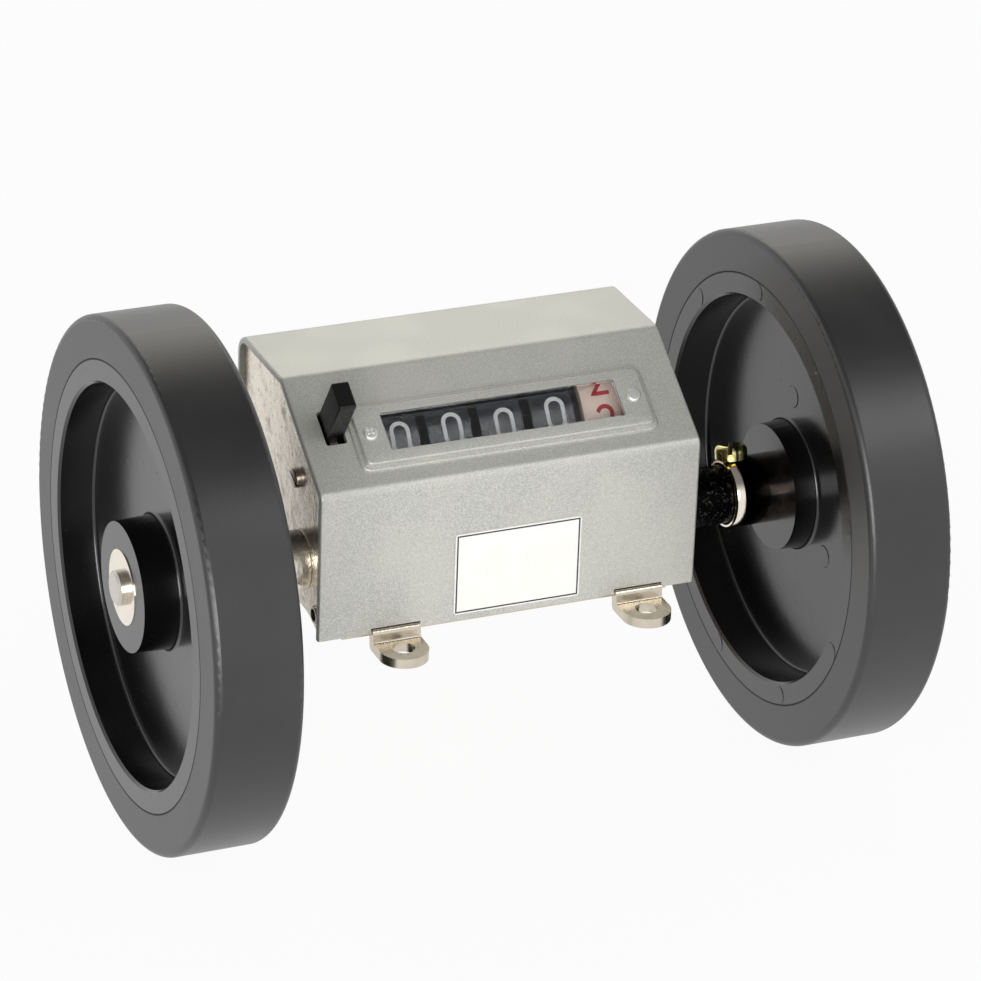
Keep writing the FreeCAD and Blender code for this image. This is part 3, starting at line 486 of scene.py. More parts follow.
def nylon_finish():
    """Satin black moulding with faint flow marks, dark where the tyre meets it."""
    finish = Finish("black_nylon", specular_ior_level=0.72)
    seam = finish.tyre_seam()
    flow = finish.noise(16.0)
    scuff = finish.noise(1.3, detail=4.0).step(0.64, 0.72)
    tone = finish.blend(flow, paint(4, 4, 5), paint(9, 9, 10))
    finish.coat(finish.blend(seam, tone, paint(2, 2, 2)), 0.16 + flow * 0.08 + scuff * 0.08 + seam * 0.6)
    finish.bump(finish.noise(2.4, detail=2.0) * 0.7 + flow * 0.3, 0.02)
    return finish


def rubber_finish():
    """Ground satin rubber with a faint bloom, dark where it meets the wheel."""
    finish = Finish("tyre_rubber", specular_ior_level=0.8)
    seam = finish.tyre_seam()
    bloom = finish.noise(18.0)
    dust = finish.noise(0.5)
    tone = finish.blend(bloom.step(0.35, 0.7), paint(20, 20, 21), paint(27, 27, 27))
    tone = finish.blend(dust.step(0.64, 0.76) * 0.2, tone, paint(70, 70, 68))
    finish.coat(finish.blend(seam, tone, paint(4, 4, 4)), 0.3 + bloom * 0.08 + dust * 0.06 + seam * 0.5)
    finish.bump(dust * 0.5 + finish.noise(3.0) * 0.5, 0.02)
    return finish


def key_finish():
    """Semi-gloss black moulding of the reset key."""
    finish = Finish("black_key", specular_ior_level=0.35)
    grain = finish.noise(0.5)
    finish.coat(finish.blend(grain, paint(5, 6, 4), paint(12, 13, 10)), 0.22 + grain * 0.14)
    finish.bump(grain, 0.02)
    return finish


def drum_finish(name, shade, light, gloss):
    """Satin moulded number wheel."""
    finish = Finish(name, specular_ior_level=gloss)
    cloud = finish.noise(4.0)
    finish.coat(finish.blend(cloud, shade, light), 0.2 + cloud * 0.1)
    finish.bump(finish.noise(0.8), 0.006)
    return finish


def ink_finish(name, colour):
    """Printed figure, slightly uneven."""
    finish = Finish(name)
    cloud = finish.noise(0.9, detail=2.0)
    finish.coat(finish.blend(cloud, tuple(c * 0.86 for c in colour), colour), 0.4 + cloud * 0.15)
    return finish


def acetal_finish():
    """Natural white acetal of the transfer pinions."""
    finish = Finish("natural_acetal", subsurface_weight=0.1)
    cloud = finish.noise(3.0)
    finish.coat(finish.blend(cloud, paint(214, 208, 192), paint(228, 224, 210)), 0.34 + cloud * 0.12)
    return finish


def pane_finish():
    """Clear acrylic window with fine scratches."""
    finish = Finish("clear_pane", transmission_weight=1.0, ior=1.49, base_color=(0.95, 0.96, 0.97))
    scratch = finish.noise(0.5, detail=4.0, stretch=(0.15, 1, 1)).step(0.66, 0.8)
    finish.feed("Roughness", 0.01 + scratch * 0.04)
    return finish


def plate_finish(settings):
    """White enamelled plate with a thin black border line."""
    finish = Finish("white_plate")
    x, _, z = finish.axes()
    centre = middle("data_plate") / MM
    low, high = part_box("data_plate")
    half_x = (high[0] - low[0]) / 2 / MM - settings.border_inset
    half_z = (high[2] - low[2]) / 2 / MM - settings.border_inset
    edge = (abs(x - centre.x) - half_x).most(abs(z - centre.z) - half_z)
    line = 1 - abs(edge).step(settings.border_width * 0.4, settings.border_width * 0.7)
    cloud = finish.noise(6.0)
    white = finish.blend(cloud, paint(232, 230, 224), paint(244, 243, 239))
    finish.coat(finish.blend(line, white, paint(38, 38, 40)), 0.32 + cloud * 0.12)
    finish.bump(finish.noise(1.2), 0.01)
    return finish


# Settings that a user would change

def number(name, description, default, **more):
    """A setting that is one number."""
    return bpy.props.FloatProperty(name=name, description=description, default=default, **more)


def colour(name, description, default):
    """A setting that is a colour."""
    return bpy.props.FloatVectorProperty(name=name, description=description, default=default, subtype="COLOR")


class CounterFinishSettings(bpy.types.PropertyGroup):
    """Colours of the counter, and the line of its data plate in millimetres."""

    enamel: colour("Enamel", "Colour of the painted cover", paint(196, 196, 190))
    figure_white: colour("White figures", "Ink on the black number wheels", paint(248, 248, 248))
    figure_red: colour("Red figures", "Ink on the pale number wheel", paint(204, 40, 44))
    border_width: number("Border width", "Width of the data plate's line", 0.3, min=0.05)
    border_inset: number("Border inset", "Gap from the plate's edge to its line", 0.45)


class CounterFigureSettings(bpy.types.PropertyGroup):
    """Sizes of the figures on the number wheels."""

    height: number("Height", "Height of a white figure", 6.5 * MM, unit="LENGTH")
    units_height: number("Units height", "Height of a red figure", 6.9 * MM, unit="LENGTH")
    units_left: number("Units left", "How far the red figures sit to the left", 0.55 * MM, unit="LENGTH")
    width: number("Width", "Width of a figure", 4.15 * MM, unit="LENGTH")
    stroke: number("Stroke", "Width of a figure's line", 0.8 * MM, unit="LENGTH")
    ink: number("Ink", "How far the printed ink stands out", 0.04 * MM, unit="LENGTH")


class CounterWindowSettings(bpy.types.PropertyGroup):
    """Sizes of the bezel, its rivets and the window pane, in millimetres."""

    bezel_width: number("Bezel width", "Length of the flange", 62.9)
    bezel_height: number("Bezel height", "Width of the flange", 14.8)
    bezel_corner: number("Bezel corner", "Corner radius", 1.9)
    bezel_shift: number("Bezel shift", "How far the bezel sits up the slope from the window", -0.3)
    bezel_thickness: number("Bezel thickness", "Height of the raised face", 1.5)
    flange_width: number("Flange width", "Width of the low step round the raised face", 0.95)
    flange_height: number("Flange height", "Height of the low step", 0.55)
    opening_width: number("Opening width", "Length of the window", 49.7)
    opening_height: number("Opening height", "Width of the window", 8.45)
    opening_corner: number("Opening corner", "Corner radius of the window", 0.4)
    pane_gap: number("Pane gap", "Gap round the clear block", 0.08)
    pane_seat: number("Pane seat", "How far the pane reaches under the bezel", 0.9)
    rivet_radius: number("Rivet radius", "Radius of a rivet's head", 1.45)
    rivet_height: number("Rivet height", "Height of a rivet's head", 0.45)
    cad_rivet_radius: number("Plain rivet radius", "Head radius of the solid that gives the place", 1.25)


class CounterStudioSettings(bpy.types.PropertyGroup):
    """Light and camera round the counter; the lens is in millimetres."""

    horizon: number("Horizon", "Brightness of the room at eye height", 1.0, min=0.0)
    ceiling: number("Ceiling", "Brightness of the room overhead", 0.22, min=0.0)
    front_light: number("Front light", "Power of the large lamp in front", 15.0, subtype="POWER")
    back_light: number("Back light", "Power of the lamp behind and above", 2.7, subtype="POWER")
    top_light: number("Top light", "Power of the softbox above the front", 1.65, subtype="POWER")
    lens: number("Lens", "Focal length of the camera", 179.57)


# Figures: each is a set of strokes in a box 1 wide and 1 high

def arc(centre_x, centre_y, radius_x, radius_y, start, end):
    """Points on an ellipse between two angles in degrees."""
    points = []
    for i in range(ARC_STEPS + 1):
        angle = math.radians(start + (end - start) * i / ARC_STEPS)
        points.append((centre_x + radius_x * math.cos(angle), centre_y + radius_y * math.sin(angle)))
    return points


def figure_strokes(figure):
    """The strokes of one figure, as lists of points; a closed stroke ends where it starts."""
    bowl = 0.27
    return {
        0: [arc(0.5, 1 - bowl, 0.5, bowl, 0, 180) + arc(0.5, bowl, 0.5, bowl, 180, 360) + [(1.0, 1 - bowl)]],
        1: [[(0.2, 0.78), (0.55, 1.0), (0.55, 0.0)]],
        2: [arc(0.5, 1 - bowl, 0.5, bowl, 165, -20) + [(0.0, 0.0), (1.0, 0.0)]],
        3: [arc(0.48, 0.76, 0.46, 0.24, 160, -90), arc(0.48, 0.26, 0.52, 0.26, 90, -160)],
        4: [[(0.72, 0.0), (0.72, 1.0), (0.0, 0.3), (1.0, 0.3)]],
        5: [[(0.92, 1.0), (0.14, 1.0), (0.06, 0.55)] + arc(0.48, 0.32, 0.52, 0.32, 115, -155)],
        6: [arc(0.5, 0.72, 0.48, 0.28, 30, 180) + arc(0.5, 0.3, 0.5, 0.3, 180, 360)
            + arc(0.5, 0.34, 0.5, 0.26, 0, 165)],
        7: [[(0.0, 1.0), (1.0, 1.0), (0.38, 0.0)]],
        8: [arc(0.5, 0.76, 0.42, 0.24, -90, 270), arc(0.5, 0.26, 0.5, 0.26, 90, 450)],
        9: [arc(0.5, 0.28, 0.48, 0.28, 210, 360) + arc(0.5, 0.7, 0.5, 0.3, 0, 180)
            + arc(0.5, 0.66, 0.5, 0.26, 180, 345)],
    }[figure]


def evened(points, shortest, longest):
    """A stroke's points without those that nearly meet, and with more where two lie far apart."""
    dense = [points[0]]
    for point in points[1:]:
        last = dense[-1]
        gap = math.dist(point, last)
        if gap >= shortest:
            pieces = max(1, math.ceil(gap / longest))
            for i in range(1, pieces + 1):
                share = i / pieces
                dense.append((last[0] + (point[0] - last[0]) * share, last[1] + (point[1] - last[1]) * share))
    return dense


def stroke_ribbon(mesh, points, half, place):
    """A flat ribbon of even width along a stroke; place puts a flat point on the drum."""
    sharpest_mitre = 0.55
    dense = evened(points, half * 0.05, half * 1.2)
    closed = math.dist(dense[0], dense[-1]) < half / 2
    start, end = (dense[-2], dense[1]) if closed else (dense[0], dense[-1])
    rails = []
    for before, (x, y), after in zip([start] + dense, dense, dense[1:] + [end]):
        ahead = Vector((x - before[0], y - before[1])).normalized()
        beyond = Vector((after[0] - x, after[1] - y)).normalized()
        along = (ahead + beyond).normalized()
        spread = half / max(sharpest_mitre, along.dot(ahead if ahead.length > 0.5 else beyond))
        side = Vector((-along.y, along.x)) * spread
        rails.append([mesh.verts.new(place(x + hand * side.x, y + hand * side.y)) for hand in (1, -1)])
    for first, second in zip(rails, rails[1:]):
        mesh.faces.new((first[0], first[1], second[1], second[0]))


def figure_ring(middle_x, top_angle, height, sizes):
    """The ten figures of one number wheel as a mesh wrapped on its rim."""
    figures = 10
    mesh = bmesh.new()
    radius = DRUM_RADIUS * MM
    wide = sizes.width - sizes.stroke
    high = height - sizes.stroke
    for figure in range(figures):
        figure_angle = top_angle - 2 * math.pi * figure / figures

        def place(x, y):
            angle = figure_angle + y / radius
            around = OUT_OF_SLOPE * math.cos(angle) + ALONG_SLOPE * math.sin(angle)
            return Vector((middle_x + x, DRUM.y, DRUM.z)) + around * (radius + sizes.ink)

        for stroke in figure_strokes(figure):
            points = [((x - 0.5) * wide, (y - 0.5) * high) for x, y in stroke]
            stroke_ribbon(mesh, points, sizes.stroke / 2, place)
    bmesh.ops.remove_doubles(mesh, verts=mesh.verts, dist=2 * HAIR)
    turn_outward(mesh)
    for face in mesh.faces:
        outward = face.calc_center_median() - DRUM
        if face.normal.yz.dot(outward.yz) < 0:
            face.normal_flip()
    # The ink also reaches half as far into the rim as it stands out, so that no gap shows
    bmesh.ops.solidify(mesh, geom=mesh.faces, thickness=sizes.ink * 1.5)
    turn_outward(mesh)
    return mesh


# Operators; sizes in them are in millimetres, apart from those given with MM and the stage's, in metres

class COUNTER_OT_painted_cover(bpy.types.Operator):
    """Paint the cover and form the stepped bezel round its window"""

    bl_idname = "counter.painted_cover"
    bl_label = "Painted cover"

    # Shares of the flange's corner radius and of its height
    face_corner = 0.7
    edge_round = 0.6

    def execute(self, context):
        settings = context.scene.counter_finish
        sizes = context.scene.counter_window
        dress(enamel_finish(settings, "grey_enamel"), "cover")
        mesh = bmesh.new()
        flange = (sizes.bezel_width, sizes.bezel_height, sizes.bezel_corner)
        step_in = 2 * sizes.flange_width
        face = (sizes.bezel_width - step_in, sizes.bezel_height - step_in,
                sizes.bezel_corner * self.face_corner)
        opening = (sizes.opening_width, sizes.opening_height, sizes.opening_corner)
        shift = sizes.bezel_shift
        steps = ((opening, 0.0, 0.0), (flange, 0.0, shift), (flange, sizes.flange_height, shift),
                 (face, sizes.flange_height, shift), (face, sizes.bezel_thickness, shift),
                 (opening, sizes.bezel_thickness, 0.0))
        loops = [rounded_loop(mesh, *size, level, along) for size, level, along in steps]
        loft(mesh, loops)
        round_edges(mesh, loops[2] + loops[4], sizes.flange_height * self.edge_round, segments=4)
        put_in_place(mesh, WINDOW, X_AXIS, ALONG_SLOPE, OUT_OF_SLOPE)
        enamel = enamel_finish(settings, "bezel_enamel", 1.03)
        add_piece("bezel_frame", mesh, enamel, "casing", "bezel")
        return {"FINISHED"}


class COUNTER_OT_rivets(bpy.types.Operator):
    """Form the two rivets of the bezel, the left one staked with four dimples"""

    bl_idname = "counter.rivets"
    bl_label = "Bezel rivets"

    dome_rings = 9
    dimples = 4
    dimple_out = 0.6
    dimple_radius = 0.34
    dimple_depth = 0.14

    def execute(self, context):
        sizes = context.scene.counter_window
        low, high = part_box("bezel_rivets")
        reach = (high[0] - low[0]) / 2 - sizes.cad_rivet_radius * MM
        metal = nickel_finish("rivet_metal", paint(226, 226, 223), paint(245, 245, 242), 0.46)
        for side, sign in SIDES:
            mesh = self.head(sizes.rivet_radius * MM, sizes.rivet_height * MM)
            if side == "left":
                self.stake(mesh)
            at = WINDOW + X_AXIS * sign * reach + OUT_OF_SLOPE * sizes.bezel_thickness * MM
            put_in_place(mesh, at, X_AXIS, ALONG_SLOPE, OUT_OF_SLOPE)
            add_piece(side + "_rivet", mesh, metal, "casing", "bezel_rivets")
        return {"FINISHED"}

    def head(self, radius, height):
        """A low dome, nearly flat on top, with a mesh fine enough for the dimples."""
        mesh = bmesh.new()
        verts = [mesh.verts.new((0, 0, height))]
        for i in range(1, self.dome_rings + 1):
            share = i / self.dome_rings
            out = radius * math.sin(math.pi / 2 * share)
            verts.append(mesh.verts.new((out, 0, height * math.cos(math.pi / 2 * share ** 3))))
        edges = [mesh.edges.new(pair) for pair in zip(verts, verts[1:])]
        bmesh.ops.spin(mesh, geom=verts + edges, cent=(0, 0, 0), axis=(0, 0, 1), angle=2 * math.pi,
                       steps=CIRCLE_STEPS, use_merge=True)
        bmesh.ops.remove_doubles(mesh, verts=mesh.verts, dist=HAIR)
        bmesh.ops.contextual_create(mesh, geom=[edge for edge in mesh.edges if edge.is_boundary])
        turn_outward(mesh)
        return mesh

    def stake(self, mesh):
        """Press the dimples into the head, the first between right and up."""
        for i in range(self.dimples):
            turn = 2 * math.pi * (i + 0.5) / self.dimples
            at = Vector((math.cos(turn), math.sin(turn), 0)) * self.dimple_out * MM
            for vert in mesh.verts:
                away = (vert.co.xy - at.xy).length / (self.dimple_radius * MM)
                if away < 1 and vert.co.z > 0:
                    vert.co.z -= self.dimple_depth * MM * (1 - away * away) ** 2


class COUNTER_OT_metal_parts(bpy.types.Operator):
    """Finish the plated, cast, turned and sintered pieces"""

    bl_idname = "counter.metal_parts"
    bl_label = "Metal parts"

    collar_inner = 6.0
    collar_low = 6.65
    collar_high = 7.3
    collar_lap = 0.15
    collar_round = 0.25

    def execute(self, context):
        nickel = nickel_finish("nickel_plate", paint(194, 184, 167), paint(222, 213, 197), 0.2)
        steel = steel_finish("drawn_steel", paint(190, 186, 178), 0.2)
        dull = steel_finish("dull_steel", paint(138, 134, 126), 0.32)
        bronze = bronze_finish()
        sleeve = sleeve_finish()
        dress(nickel, "base_plate", "cover_screws", "front_tie_rod", "rear_tie_rod")
        # Painted light per side: the right boss is painted nearly black with sparse pale glints, the left pale
        # with a shaded top
        boss_tones_lit_and_shaded = {"left": {"boss_dark": paint(58, 52, 46), "boss_light": paint(244, 236, 222),
                           "bare_and_lit_from": 0.2, "grain": 1.3, "painted_top_shade": 0.9},
                  "right": {"boss_dark": paint(7, 7, 7), "boss_light": paint(150, 146, 140),
                            "bare_and_lit_from": 0.56, "grain": 0.7, "painted_top_shade": 0.0}}
        for side, sign in SIDES:
            dress(casting_finish(side + "_casting", **boss_tones_lit_and_shaded[side]), side + "_end_plate")
            dress(bronze, side + "_bearing_bush")
            dress(sleeve, side + "_hub_sleeve")
            self.collar(side, sign, sleeve)
        dress(steel, "main_shaft", "number_shaft", "transfer_shaft", "comb_shaft", "base_screws")
        dress(dull, "reset_slide", "reset_comb", "return_spring")
        return {"FINISHED"}

    def collar(self, side, sign, finish):
        """The ring that the sleeve ends in, by the boss: it widens outward and its edges are rounded."""
        near, far = SLEEVE_START, SLEEVE_COLLAR_END + self.collar_lap
        inner = self.collar_inner
        outline = ((near, inner), (near, self.collar_low), (far, self.collar_high), (far, inner))
        mesh = bmesh.new()
        spun_ring(mesh, [(sign * x, radius) for x, radius in outline])
        rims = [edge for edge in mesh.edges if self.is_outer_rim(edge)]
        round_edges(mesh, rims, self.collar_round)
        turn_outward(mesh)
        bmesh.ops.translate(mesh, verts=mesh.verts, vec=CASE_MIDDLE)
        add_piece(side + "_collar_ring", mesh, finish, "axle")

    def is_outer_rim(self, edge):
        """Whether an edge runs round the outside of the collar."""
        one, other = [(vert.co.x, vert.co.yz.length) for vert in edge.verts]
        return math.dist(one, other) < HAIR and one[1] > (self.collar_inner + self.collar_low) / 2 * MM


class COUNTER_OT_set_screws(bpy.types.Operator):
    """Form the round-headed slotted screws that hold the wheels on the axle"""

    bl_idname = "counter.set_screws"
    bl_label = "Set screws"

    from_collar = 2.4
    tilt = math.radians(12.0)
    seat = 7.2
    shank_radius = 1.5
    shank_end = 2.9
    head_radius = 3.3
    head_height = 2.9
    slot_width = 0.9
    slot_depth = 1.5
    slot_turn = math.radians(-28.0)
    edge_round = 1.35

    def execute(self, context):
        metal = yellow_zinc_finish()
        up = Vector((0, math.sin(self.tilt), math.cos(self.tilt)))
        outline = ((self.shank_radius, -self.shank_end), (self.shank_radius, 0.0), (self.head_radius, 0.0),
                   (self.head_radius, self.head_height - self.slot_depth))
        for side, sign in SIDES:
            mesh = slotted_screw(outline, self)
            at = CASE_MIDDLE + X_AXIS * sign * (SLEEVE_START + self.from_collar) * MM + up * self.seat * MM
            put_in_place(mesh, at, X_AXIS, up.cross(X_AXIS), up)
            add_piece(side + "_set_screw", mesh, metal, "axle", "set_screws")
        return {"FINISHED"}


class COUNTER_OT_guide_stud(bpy.types.Operator):
    """Form the slotted stud that guides the reset slide, a little less proud than the plain solid"""

    bl_idname = "counter.guide_stud"
    bl_label = "Guide stud"

    head_radius = 2.0
    pin_radius = 1.5
    clip_radius = 2.5
    clip_thickness = 0.7
    side_gap = 0.15
    set_in = 0.5
    slot_width = 0.5
    slot_depth = 0.45
    slot_turn = math.radians(65.0)
    edge_round = 0.18

    def execute(self, context):
        low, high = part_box("guide_stud")
        length = (high[0] - low[0]) / MM - self.set_in
        shoulder = (high[0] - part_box("reset_slide")[0][0]) / MM + self.side_gap
        outline = ((self.clip_radius, 0.0), (self.clip_radius, self.clip_thickness),
                   (self.pin_radius, self.clip_thickness), (self.pin_radius, shoulder),
                   (self.head_radius, shoulder), (self.head_radius, length - self.slot_depth))
        mesh = slotted_screw(outline, self)
        at = middle("guide_stud")
        at.x = high[0]
        put_in_place(mesh, at, Y_AXIS, -Z_AXIS, -X_AXIS)
        metal = nickel_finish("stud_metal", paint(126, 118, 110), paint(178, 170, 160), 0.16)
        add_piece("slotted_stud", mesh, metal, "casing", "guide_stud")
        return {"FINISHED"}


class COUNTER_OT_wheels(bpy.types.Operator):
    """Finish the moulded wheels and their tyres, with the corner rounds and ejector marks"""

    bl_idname = "counter.wheels"
    bl_label = "Wheels and tyres"

    corner_round = 0.7

    # Marks of the ejector pins: how many, degrees to the first, radius of their circle and of one mark
    rim_marks = (9, 45.5, 42.3, 2.0)
    web_marks = (3, 87.0, 19.0, 2.3)
    mark_height = 0.12
    mark_taper = 0.93
    mark_steps = 32

    def execute(self, context):
        nylon = nylon_finish()
        rubber = rubber_finish()
        for side, sign in SIDES:
            dress(nylon, side + "_wheel")
            dress(rubber, side + "_tyre")
            rounds = bmesh.new()
            for face, out in ((WEB_INNER, -1), (WEB_OUTER, 1)):
                self.corner(rounds, sign, face, out, RIM_OPENING - BOSS_DRAFT, -1)
                self.corner(rounds, sign, face, out, BOSS_RADIUS + BOSS_DRAFT, 1)
            marks = bmesh.new()
            self.marks(marks, sign, WHEEL_INNER, *self.rim_marks)
            self.marks(marks, sign, WEB_INNER, *self.web_marks)
            for name, mesh in (("_wheel_rounds", rounds), ("_ejector_marks", marks)):
                turn_outward(mesh)
                bmesh.ops.translate(mesh, verts=mesh.verts, vec=CASE_MIDDLE)
                add_piece(side + name, mesh, nylon, "axle")
        return {"FINISHED"}

    def corner(self, mesh, sign, face, out, radius, inward):
        """A concave round in the corner between the web and a wall, turned about the axle."""
        size = self.corner_round
        sink = 0.1
        turns = [math.pi / 2 * i / CORNER_STEPS for i in range(CORNER_STEPS + 1)]
        curve = [(size * (1 - math.sin(turn)), size * (1 - math.cos(turn))) for turn in turns]
        outline = [(-sink, -sink), (size, -sink)] + curve + [(-sink, size)]
        spun_ring(mesh, [(sign * (face + out * away), radius + inward * step) for away, step in outline])

    def marks(self, mesh, sign, face, count, first, ring, radius):
        """Flat round marks that the ejector pins left, evenly round the axle."""
        outward = X_AXIS * -sign
        for i in range(count):
            turn = math.radians(first + 360.0 * i / count)
            base = bmesh.ops.create_circle(mesh, cap_ends=True, radius=radius * MM,
                                           segments=self.mark_steps)["verts"]
            lid = bmesh.ops.extrude_face_region(mesh, geom=list(base[0].link_faces))["geom"]
            top = [item for item in lid if isinstance(item, bmesh.types.BMVert)]
            bmesh.ops.translate(mesh, verts=top, vec=(0, 0, self.mark_height * MM))
            bmesh.ops.scale(mesh, verts=top, vec=(self.mark_taper, self.mark_taper, 1))
            at = Vector((sign * face, ring * math.cos(turn), ring * math.sin(turn))) * MM
            put_in_place(mesh, at, Y_AXIS, outward.cross(Y_AXIS), outward, base + top)


class COUNTER_OT_number_wheels(bpy.types.Operator):
    """Finish the number wheels and print their figures"""

    bl_idname = "counter.number_wheels"
    bl_label = "Number wheels"

    # Degrees from the slope's normal to each wheel's zero, the units wheel first
    zero_angles = (78.2, -17.1, -19.8, -17.3, -18.6)
    figure_from_rim_right = 3.8 * MM
    rim_tolerance = 0.02 * MM

    def execute(self, context):
        settings = context.scene.counter_finish
        sizes = context.scene.counter_figures
        black = drum_finish("black_drum", paint(20, 23, 33), paint(30, 33, 44), 0.5)
        cream = drum_finish("cream_drum", paint(255, 222, 204), paint(255, 234, 218), 0.45)
        white_ink = ink_finish("white_ink", tuple(settings.figure_white))
        red_ink = ink_finish("red_ink", tuple(settings.figure_red))
        acetal = acetal_finish()
        for wheel in range(1, NUMBER_WHEELS + 1):
            node = "number_wheel_%d" % wheel
            units = wheel == 1
            dress(cream if units else black, node)
            turn = math.radians(self.zero_angles[wheel - 1])
            middle_x = self.figure_middle(node) - (sizes.units_left if units else 0)
            height = sizes.units_height if units else sizes.height
            mesh = figure_ring(middle_x, turn, height, sizes)
            ink, slot = (red_ink, "cream_drum") if units else (white_ink, "black_drum")
            add_piece("figures_%d" % wheel, mesh, ink, "drum_%d" % wheel)
            if wheel < NUMBER_WHEELS:
                dress(acetal, "transfer_pinion_%d" % wheel)
        return {"FINISHED"}

    def figure_middle(self, node):
        """The X of a wheel's figures, from the right end of its rim."""
        points = [vert.co for vert in frame["nodes"][node].data.vertices]
        radius = DRUM_RADIUS * MM
        rim = [point.x for point in points if abs((point - DRUM).yz.length - radius) < self.rim_tolerance]
        return max(rim) - self.figure_from_rim_right


class COUNTER_OT_window(bpy.types.Operator):
    """Form the clear window, a block that fills the bezel's opening"""

    bl_idname = "counter.window"
    bl_label = "Window pane"

    edge_round = 0.15

    def execute(self, context):
        sizes = context.scene.counter_window
        low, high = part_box("window_lens")
        gap = 2 * sizes.pane_gap
        mesh = bmesh.new()
        seat = ((high[0] - low[0]) / MM, sizes.opening_height + 2 * sizes.pane_seat, sizes.opening_corner)
        block = (sizes.opening_width - gap, sizes.opening_height - gap, sizes.opening_corner)
        steps = ((seat, -LENS_THICKNESS), (seat, -sizes.pane_gap), (block, -sizes.pane_gap),
                 (block, sizes.bezel_thickness - sizes.pane_gap))
        loops = [rounded_loop(mesh, *size, level) for size, level in steps]
        loft(mesh, loops, ends="capped")
        round_edges(mesh, loops[3], self.edge_round)
        put_in_place(mesh, WINDOW, X_AXIS, ALONG_SLOPE, OUT_OF_SLOPE)
        add_piece("window_block", mesh, pane_finish(), "casing", "window_lens")
        return {"FINISHED"}


class COUNTER_OT_reset_key(bpy.types.Operator):
    """Finish the black reset key"""

    bl_idname = "counter.reset_key"
    bl_label = "Reset key"

    def execute(self, context):
        dress(key_finish(), "reset_key")
        return {"FINISHED"}


class COUNTER_OT_data_plate(bpy.types.Operator):
    """Finish the bare white plate on the front"""

    bl_idname = "counter.data_plate"
    bl_label = "Data plate"

    def execute(self, context):
        dress(plate_finish(context.scene.counter_finish), "data_plate")
        return {"FINISHED"}


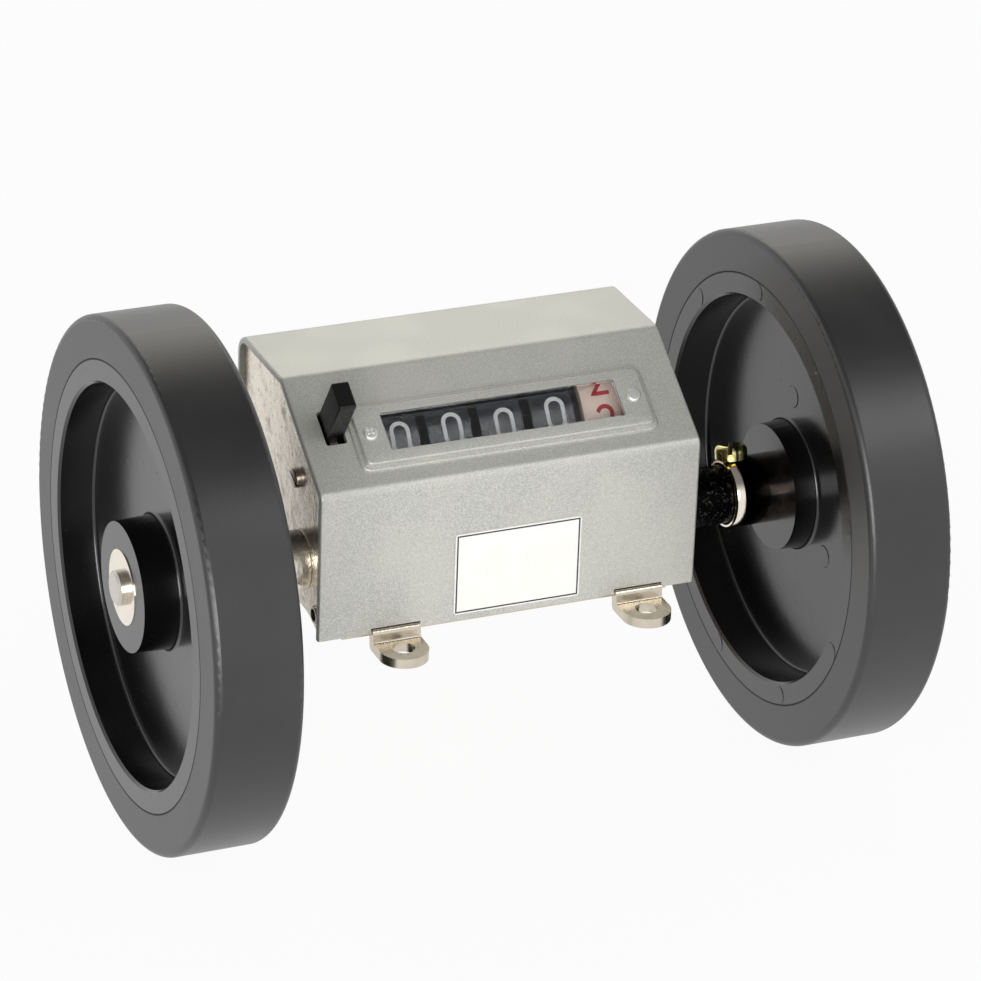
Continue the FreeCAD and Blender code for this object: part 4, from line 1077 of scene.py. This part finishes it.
class COUNTER_OT_stage(bpy.types.Operator):
    """Set up the floor, the lamps and the camera"""

    bl_idname = "counter.stage"
    bl_label = "Studio"

    floor_size = 12.0
    floor_glow = 0.93

    # Heights of the sky, as the Z of a direction, between which the room turns darker
    darker_from = 0.35
    darkest_from = 0.85

    softbox_away = 1.2
    softbox_size = (0.28, 0.45)
    gleam_turn = math.radians(-13.0)
    lamp_size = (0.9, 0.9)
    back_colour = (1.0, 0.97, 0.84)
    front_lamp_at = Vector((-0.7, -1.25, 0.3))
    back_lamp_at = Vector((0.3, 1.1, 0.9))
    camera_at = Vector((-351.05, -808.66, 447.01)) * MM
    camera_back = Vector((-0.36123, -0.82402, 0.43646))
    camera_roll = math.radians(2.143)

    def execute(self, context):
        settings = context.scene.counter_studio
        self.add_floor()
        self.add_room(context.scene, settings.horizon, settings.ceiling)
        aim = (Vector(CAD_BOX[0]) + Vector(CAD_BOX[1])) / 2
        front, back = self.front_lamp_at, self.back_lamp_at
        self.add_lamp("front_lamp", front, aim - front, self.lamp_size, settings.front_light)
        self.add_lamp("back_lamp", back, aim - back, self.lamp_size, settings.back_light, self.back_colour)
        ray = self.mirrored_in_drums()
        upward = (Z_AXIS - ray * ray.z).normalized()
        at = WINDOW + ray * self.softbox_away - upward * self.softbox_size[1] / 2
        self.add_lamp("softbox", at, -ray, self.softbox_size, settings.top_light)
        self.add_camera(context.scene, settings.lens)
        context.scene.view_settings.view_transform = "Standard"
        return {"FINISHED"}

    def mirrored_in_drums(self):
        """The direction that the camera sees mirrored in the number wheels, at the edge of their gleam."""
        view = (WINDOW - self.camera_at).normalized()
        normal = OUT_OF_SLOPE * math.cos(self.gleam_turn) + ALONG_SLOPE * math.sin(self.gleam_turn)
        return view - normal * 2 * view.dot(normal)

    def add_floor(self):
        """A pale floor that looks white to the camera and keeps a soft shadow."""
        mesh = bmesh.new()
        bmesh.ops.create_grid(mesh, x_segments=1, y_segments=1, size=self.floor_size / 2)
        bmesh.ops.translate(mesh, verts=mesh.verts, vec=(0, 0, CAD_BOX[0][2]))
        data = bpy.data.meshes.new("floor")
        mesh.to_mesh(data)
        mesh.free()
        finish = Finish("pale_floor", base_color=(0.9, 0.9, 0.9), roughness=0.9, specular_ior_level=0.1)
        white = finish.node("ShaderNodeEmission", None, {"Strength": 1.0})
        share = finish.seen() * self.floor_glow
        surface = finish.node("ShaderNodeMixShader", None,
                              {0: share, 1: Socket(finish, finish.shader.outputs[0]), 2: white})
        finish.tree.links.new(surface.link, finish.tree.nodes["Material Output"].inputs[0])
        data.materials.append(finish.material)
        floor = bpy.data.objects.new("floor", data)
        bpy.context.scene.collection.objects.link(floor)

    def add_room(self, scene, horizon, ceiling):
        """A pale room, darker overhead, and white where the camera sees it."""
        world = bpy.data.worlds.new("studio")
        scene.world = world
        world.use_nodes = True
        room = NodeTree(world.node_tree)
        direction = room.node("ShaderNodeTexCoord", output="Generated")
        height = room.node("ShaderNodeSeparateXYZ", None, {0: direction}, output=2)
        level = horizon + height.step(self.darker_from, self.darkest_from) * (ceiling - horizon)
        level = level.most(room.node("ShaderNodeLightPath", output="Is Camera Ray"))
        background = world.node_tree.nodes["Background"]
        background.inputs["Color"].default_value = (1.0, 1.0, 1.0, 1.0)
        world.node_tree.links.new(level.link, background.inputs["Strength"])

    def add_lamp(self, name, at, toward, size, power, tint=(1.0, 1.0, 1.0)):
        """A softbox at a place that shines in a direction."""
        lamp = bpy.data.lights.new(name, "AREA")
        lamp.shape = "RECTANGLE"
        lamp.size, lamp.size_y = size
        lamp.energy = power
        lamp.color = tint
        holder = bpy.data.objects.new(name, lamp)
        holder.matrix_world = Matrix.Translation(at) @ toward.to_track_quat("-Z", "Y").to_matrix().to_4x4()
        bpy.context.scene.collection.objects.link(holder)

    def add_camera(self, scene, lens):
        """The camera at the photograph's viewing angle."""
        camera = bpy.data.cameras.new("camera")
        camera.lens = lens
        camera.sensor_width = 36.0
        camera.clip_start = 0.01
        holder = bpy.data.objects.new("camera", camera)
        turn = self.camera_back.to_track_quat("Z", "Y").to_matrix().to_4x4()
        roll = Matrix.Rotation(self.camera_roll, 4, "Z")
        holder.matrix_world = Matrix.Translation(self.camera_at) @ turn @ roll
        scene.collection.objects.link(holder)
        scene.camera = holder


class COUNTER_PT_panel(bpy.types.Panel):
    """The counter's pieces in the sidebar"""

    bl_idname = "COUNTER_PT_panel"
    bl_label = "Length counter"
    bl_space_type = "VIEW_3D"
    bl_region_type = "UI"
    bl_category = "Counter"

    def draw(self, context):
        for group in SETTINGS:
            settings = getattr(context.scene, group)
            box = self.layout.box()
            for name in settings.bl_rna.properties.keys():
                if name not in ("rna_type", "name"):
                    box.prop(settings, name)
        for operator in OPERATORS:
            self.layout.operator(operator.bl_idname)


SETTINGS = {"counter_finish": CounterFinishSettings, "counter_figures": CounterFigureSettings,
            "counter_window": CounterWindowSettings, "counter_studio": CounterStudioSettings}
OPERATORS = (COUNTER_OT_painted_cover, COUNTER_OT_rivets, COUNTER_OT_metal_parts, COUNTER_OT_guide_stud,
             COUNTER_OT_set_screws, COUNTER_OT_wheels, COUNTER_OT_number_wheels, COUNTER_OT_window,
             COUNTER_OT_reset_key, COUNTER_OT_data_plate, COUNTER_OT_stage)


def register():
    """Register the settings, the operators and the panel."""
    for name, group in SETTINGS.items():
        bpy.utils.register_class(group)
        setattr(bpy.types.Scene, name, bpy.props.PointerProperty(type=group))
    for operator in OPERATORS + (COUNTER_PT_panel,):
        bpy.utils.register_class(operator)


def unregister():
    """Take them away again."""
    for operator in reversed(OPERATORS + (COUNTER_PT_panel,)):
        bpy.utils.unregister_class(operator)
    for name, group in SETTINGS.items():
        delattr(bpy.types.Scene, name)
        bpy.utils.unregister_class(group)


def main():
    """Make every piece in order."""
    register()
    bpy.ops.counter.painted_cover()
    bpy.ops.counter.rivets()
    bpy.ops.counter.metal_parts()
    bpy.ops.counter.guide_stud()
    bpy.ops.counter.set_screws()
    bpy.ops.counter.wheels()
    bpy.ops.counter.number_wheels()
    bpy.ops.counter.window()
    bpy.ops.counter.reset_key()
    bpy.ops.counter.data_plate()
    bpy.ops.counter.stage()


if __name__ == "__main__":
    main()
